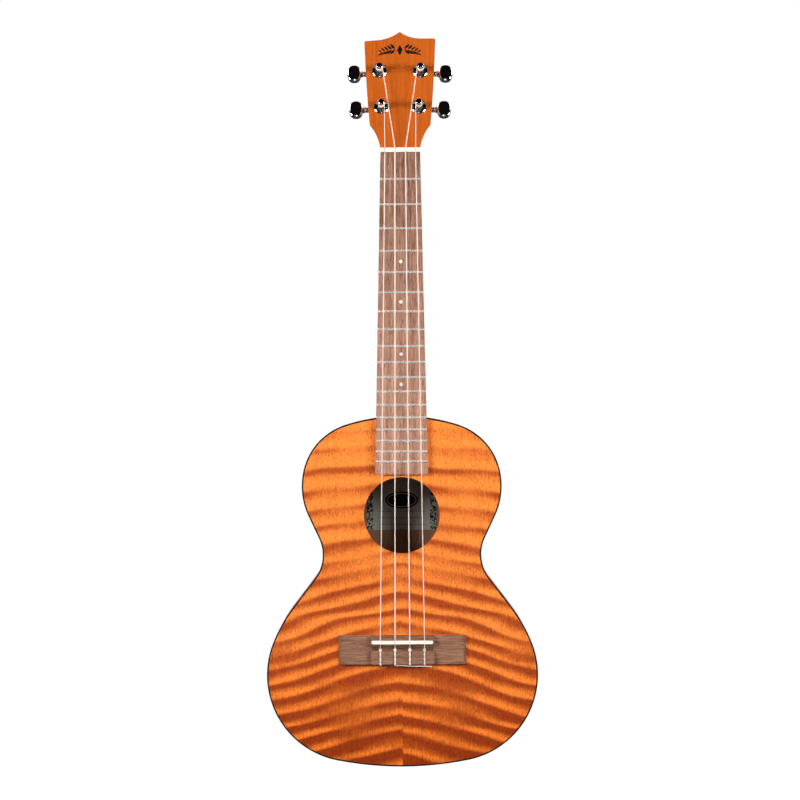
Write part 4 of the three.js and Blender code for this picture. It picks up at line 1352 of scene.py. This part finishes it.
def build_screw(name, place, radius, body):
    """A cross-slotted round-head screw, its head toward the place's third axis."""
    dome = [(0, -2 * MM), (0.5 * radius, -2 * MM), (0.5 * radius, 0), (radius, 0)]
    dome += [
        (radius * math.cos(a), SCREW_DOME * radius * math.sin(a)) for a in quarter()[1:-1]
    ]
    dome += [(0, SCREW_DOME * radius)]
    screw = turned(name, dome, place, 32)
    for width, length in (SCREW_SLOT, reversed(SCREW_SLOT)):
        x, y = width * radius / 2, length * radius / 2
        loop = rounded_box(-x, -y, x, y, 0.05 * radius)
        cross = plate("cross", [loop], 0.3 * radius, 0.7 * radius, place)
        screw = combine(screw, cross, "DIFFERENCE")
    piece(screw, "chrome", STEEL, body)


def build_thread(place):
    """The worm's right-hand thread: one turn moves the wheel by one tooth."""
    lead = 2 * math.pi * WHEEL_RADIUS / WHEEL_TEETH
    rings = []
    for step in range(THREAD_STEPS * THREAD_TURNS + 1):
        turn = step / THREAD_STEPS - THREAD_TURNS / 2 + 0.5
        angle = math.pi + 2 * math.pi * turn
        ring = []
        for offset, r in (
            (-0.3, THREAD_ROOT), (-0.17, THREAD_CREST), (0.17, THREAD_CREST), (0.3, THREAD_ROOT),
        ):
            y, z = WORM_OFFSET + r * math.cos(angle), WORM_HEIGHT + r * math.sin(angle)
            ring.append(place @ Vector((lead * turn + offset * MM, y, z)))
        rings.append(ring)
    return loft("thread", rings)


def button_rings(place, side):
    """The finger button: a flat, nearly square oval with rounded edges."""
    edge = [(scale, -height) for scale, height in BUTTON_EDGE] + list(reversed(BUTTON_EDGE))
    wide, tall, thick = BUTTON_SIZE / 2
    rings = []
    for scale, height in edge:
        ring = []
        for i in range(48):
            angle = 2 * math.pi * (i + 0.5) / 48
            c, s = math.cos(angle), math.sin(angle)
            x = side * BUTTON_AT + scale * wide * math.copysign(abs(c) ** BUTTON_SQUARENESS, c)
            y = WORM_OFFSET + scale * tall * math.copysign(abs(s) ** BUTTON_SQUARENESS, s)
            ring.append(place @ Vector((x, y, WORM_HEIGHT + height * thick)))
        rings.append(ring)
    return rings


def build_key(number, place, side):
    """The worm and its shaft, and the finger button on it."""
    axis, key = along_x(place, side), f"tuner_{number}_key"
    shaft = turned(f"button_shaft_{number}", mm(SHAFT), axis, 40)
    shaft = combine(shaft, build_thread(place), "UNION")
    piece(shaft, "chrome", CHROME, key, [f"tuner_{number}_worm_shaft"])
    head = loft(f"finger_button_{number}", button_rings(place, side))
    head = combine(head, turned("collar", mm(COLLAR), axis, 40), "UNION")
    piece(soften(head, 0.2 * MM, 2, 30), "chrome", CHROME, key, [f"tuner_{number}_button"])
    tip = axis @ Matrix.Translation((0, 0, BUTTON_AT + BUTTON_SIZE.x / 2 - 0.35 * MM))
    build_screw(f"button_screw_{number}", tip, 1.7 * MM, key)


for tuner, (tuner_x, tuner_y, tuner_side) in enumerate(TUNERS, 1):
    spot = HEAD @ Matrix.Translation((tuner_x, tuner_y, 0))
    build_bushing(tuner, spot)
    build_post(tuner, spot)
    build_case(tuner, spot, tuner_side)
    build_key(tuner, spot, tuner_side)
    repaint(f"tuner_{tuner}_wheel", BRASS)

# ---------------------------------------------------------------- CAD pieces that stay

for node in ("neck_block", "tail_block"):
    repaint(node, BLOCK_WOOD)
for node in ("top_brace_upper", "top_brace_lower", "back_brace"):
    repaint(node, SPRUCE)

# ---------------------------------------------------------------- stage, light and camera

CAMERA_DISTANCE = 3.0
CAMERA_X = -1.2 * MM
CAMERA_HEIGHT = -223.6 * MM
CAMERA_ROLL = math.radians(0.25)
FIELD = 0.7214  # width that the picture takes in at the fingerboard's face
SENSOR = 36
FLOOR_Z = ZERO_Z - 0.80
FLOOR_RADIUS = 4.0
LIT_Z = -340 * MM
STUDIO_STRENGTH = 0.35
STUDIO_DARK = (0.012, 0.013, 0.015, 1)
SOFTBOXES = (  # name, degrees from the front and above, distance, size and power
    ("key_left", -46, 13, 2.0, (0.8, 0.55), 41),
    ("key_right", 46, 13, 2.0, (0.8, 0.55), 37),
    ("card_left", -42, -34, 1.5, (0.7, 0.35), 3.2),
    ("card_right", 42, -34, 1.5, (0.7, 0.35), 3.2),
    ("strip_front", 0, -5, 3.4, (0.14, 3.2), 6),
    ("fill_front", 0, 14, 4.6, (1.0, 0.4), 2),
    ("rear_left", -140, 25, 3.0, (1.2, 1.2), 40),
    ("rear_right", 140, 25, 3.0, (1.2, 1.2), 40),
)


def build_stage():
    """A floor that looks as pale as the backdrop, and that puts little light on the object."""
    disc = [circle(0, 0, FLOOR_RADIUS, 96)]
    floor = plate("floor", disc, -0.02, 0.0, Matrix.Translation((0, 0, FLOOR_Z)))
    s = Shader("floor_paint", Roughness=0.9, Specular_IOR_Level=0.0, Base_Color=(0.05, 0.05, 0.05, 1))
    x, y, _ = s.split(s.place())
    out = s.math("SQRT", s.add(s.times(x, x), s.times(y, y)))
    cloud = s.line(s.noise(s.place(), 2.0, 3.0), 0.02)
    pale = s.add(s.ramp(s.line(out, 1 / FLOOR_RADIUS), (0.2, 0.95), (0.9, 0.99)), cloud)
    s.out(pale, "Emission Color")
    s.out(s.camera_ray(), "Emission Strength")
    floor.data.materials.append(s.material)


def build_world():
    """A white backdrop, seen by the camera only, and a studio: white behind and dark in front."""
    world = bpy.data.worlds.new("studio")
    world.use_nodes = True
    world.node_tree.nodes.clear()
    s = Nodes(world.node_tree)
    way = s.node("TexCoord").outputs["Generated"]
    front = s.node("VectorMath", {0: way, 1: (0, -1, 0)}, operation="DOT_PRODUCT").outputs["Value"]
    shade = s.ramp(front, (0.0, 1.0), (0.0, STUDIO_DARK))
    lit = s.node("Background", {"Color": shade, "Strength": STUDIO_STRENGTH}).outputs[0]
    seen = s.node("Background", {"Color": (1, 1, 1, 1)}).outputs[0]
    choose = s.node("MixShader", {0: s.camera_ray(), 1: lit, 2: seen}).outputs[0]
    s.node("OutputWorld", {0: choose})
    bpy.context.scene.world = world


def softbox(name, azimuth, elevation, distance, size, power):
    """An area light aimed at the body, by its direction from the front and above."""
    data = bpy.data.lights.new(name, "AREA")
    data.shape = "RECTANGLE"
    data.size, data.size_y = size
    data.energy = power
    lamp = placed(name, data)
    side, up = math.radians(azimuth), math.radians(elevation)
    away = Vector((math.sin(side) * math.cos(up), -math.cos(side) * math.cos(up), math.sin(up)))
    lamp.location = at(0, 0, LIT_Z) + away * distance
    lamp.rotation_mode = "QUATERNION"
    lamp.rotation_quaternion = (-away).to_track_quat("-Z", "Y")


def build_camera():
    data = bpy.data.cameras.new("camera")
    data.sensor_width = SENSOR
    data.lens = SENSOR * CAMERA_DISTANCE / FIELD
    data.clip_end = 50
    camera = placed("camera", data)
    face = at(0, BOARD["thickness"], CAMERA_HEIGHT)
    camera.location = face + Vector((CAMERA_X, -CAMERA_DISTANCE, 0))
    camera.rotation_euler = (math.pi / 2, CAMERA_ROLL, 0)
    bpy.context.scene.camera = camera


build_stage()
build_world()
for row in SOFTBOXES:
    softbox(*row)
build_camera()
bpy.context.scene.view_settings.view_transform = "Standard"
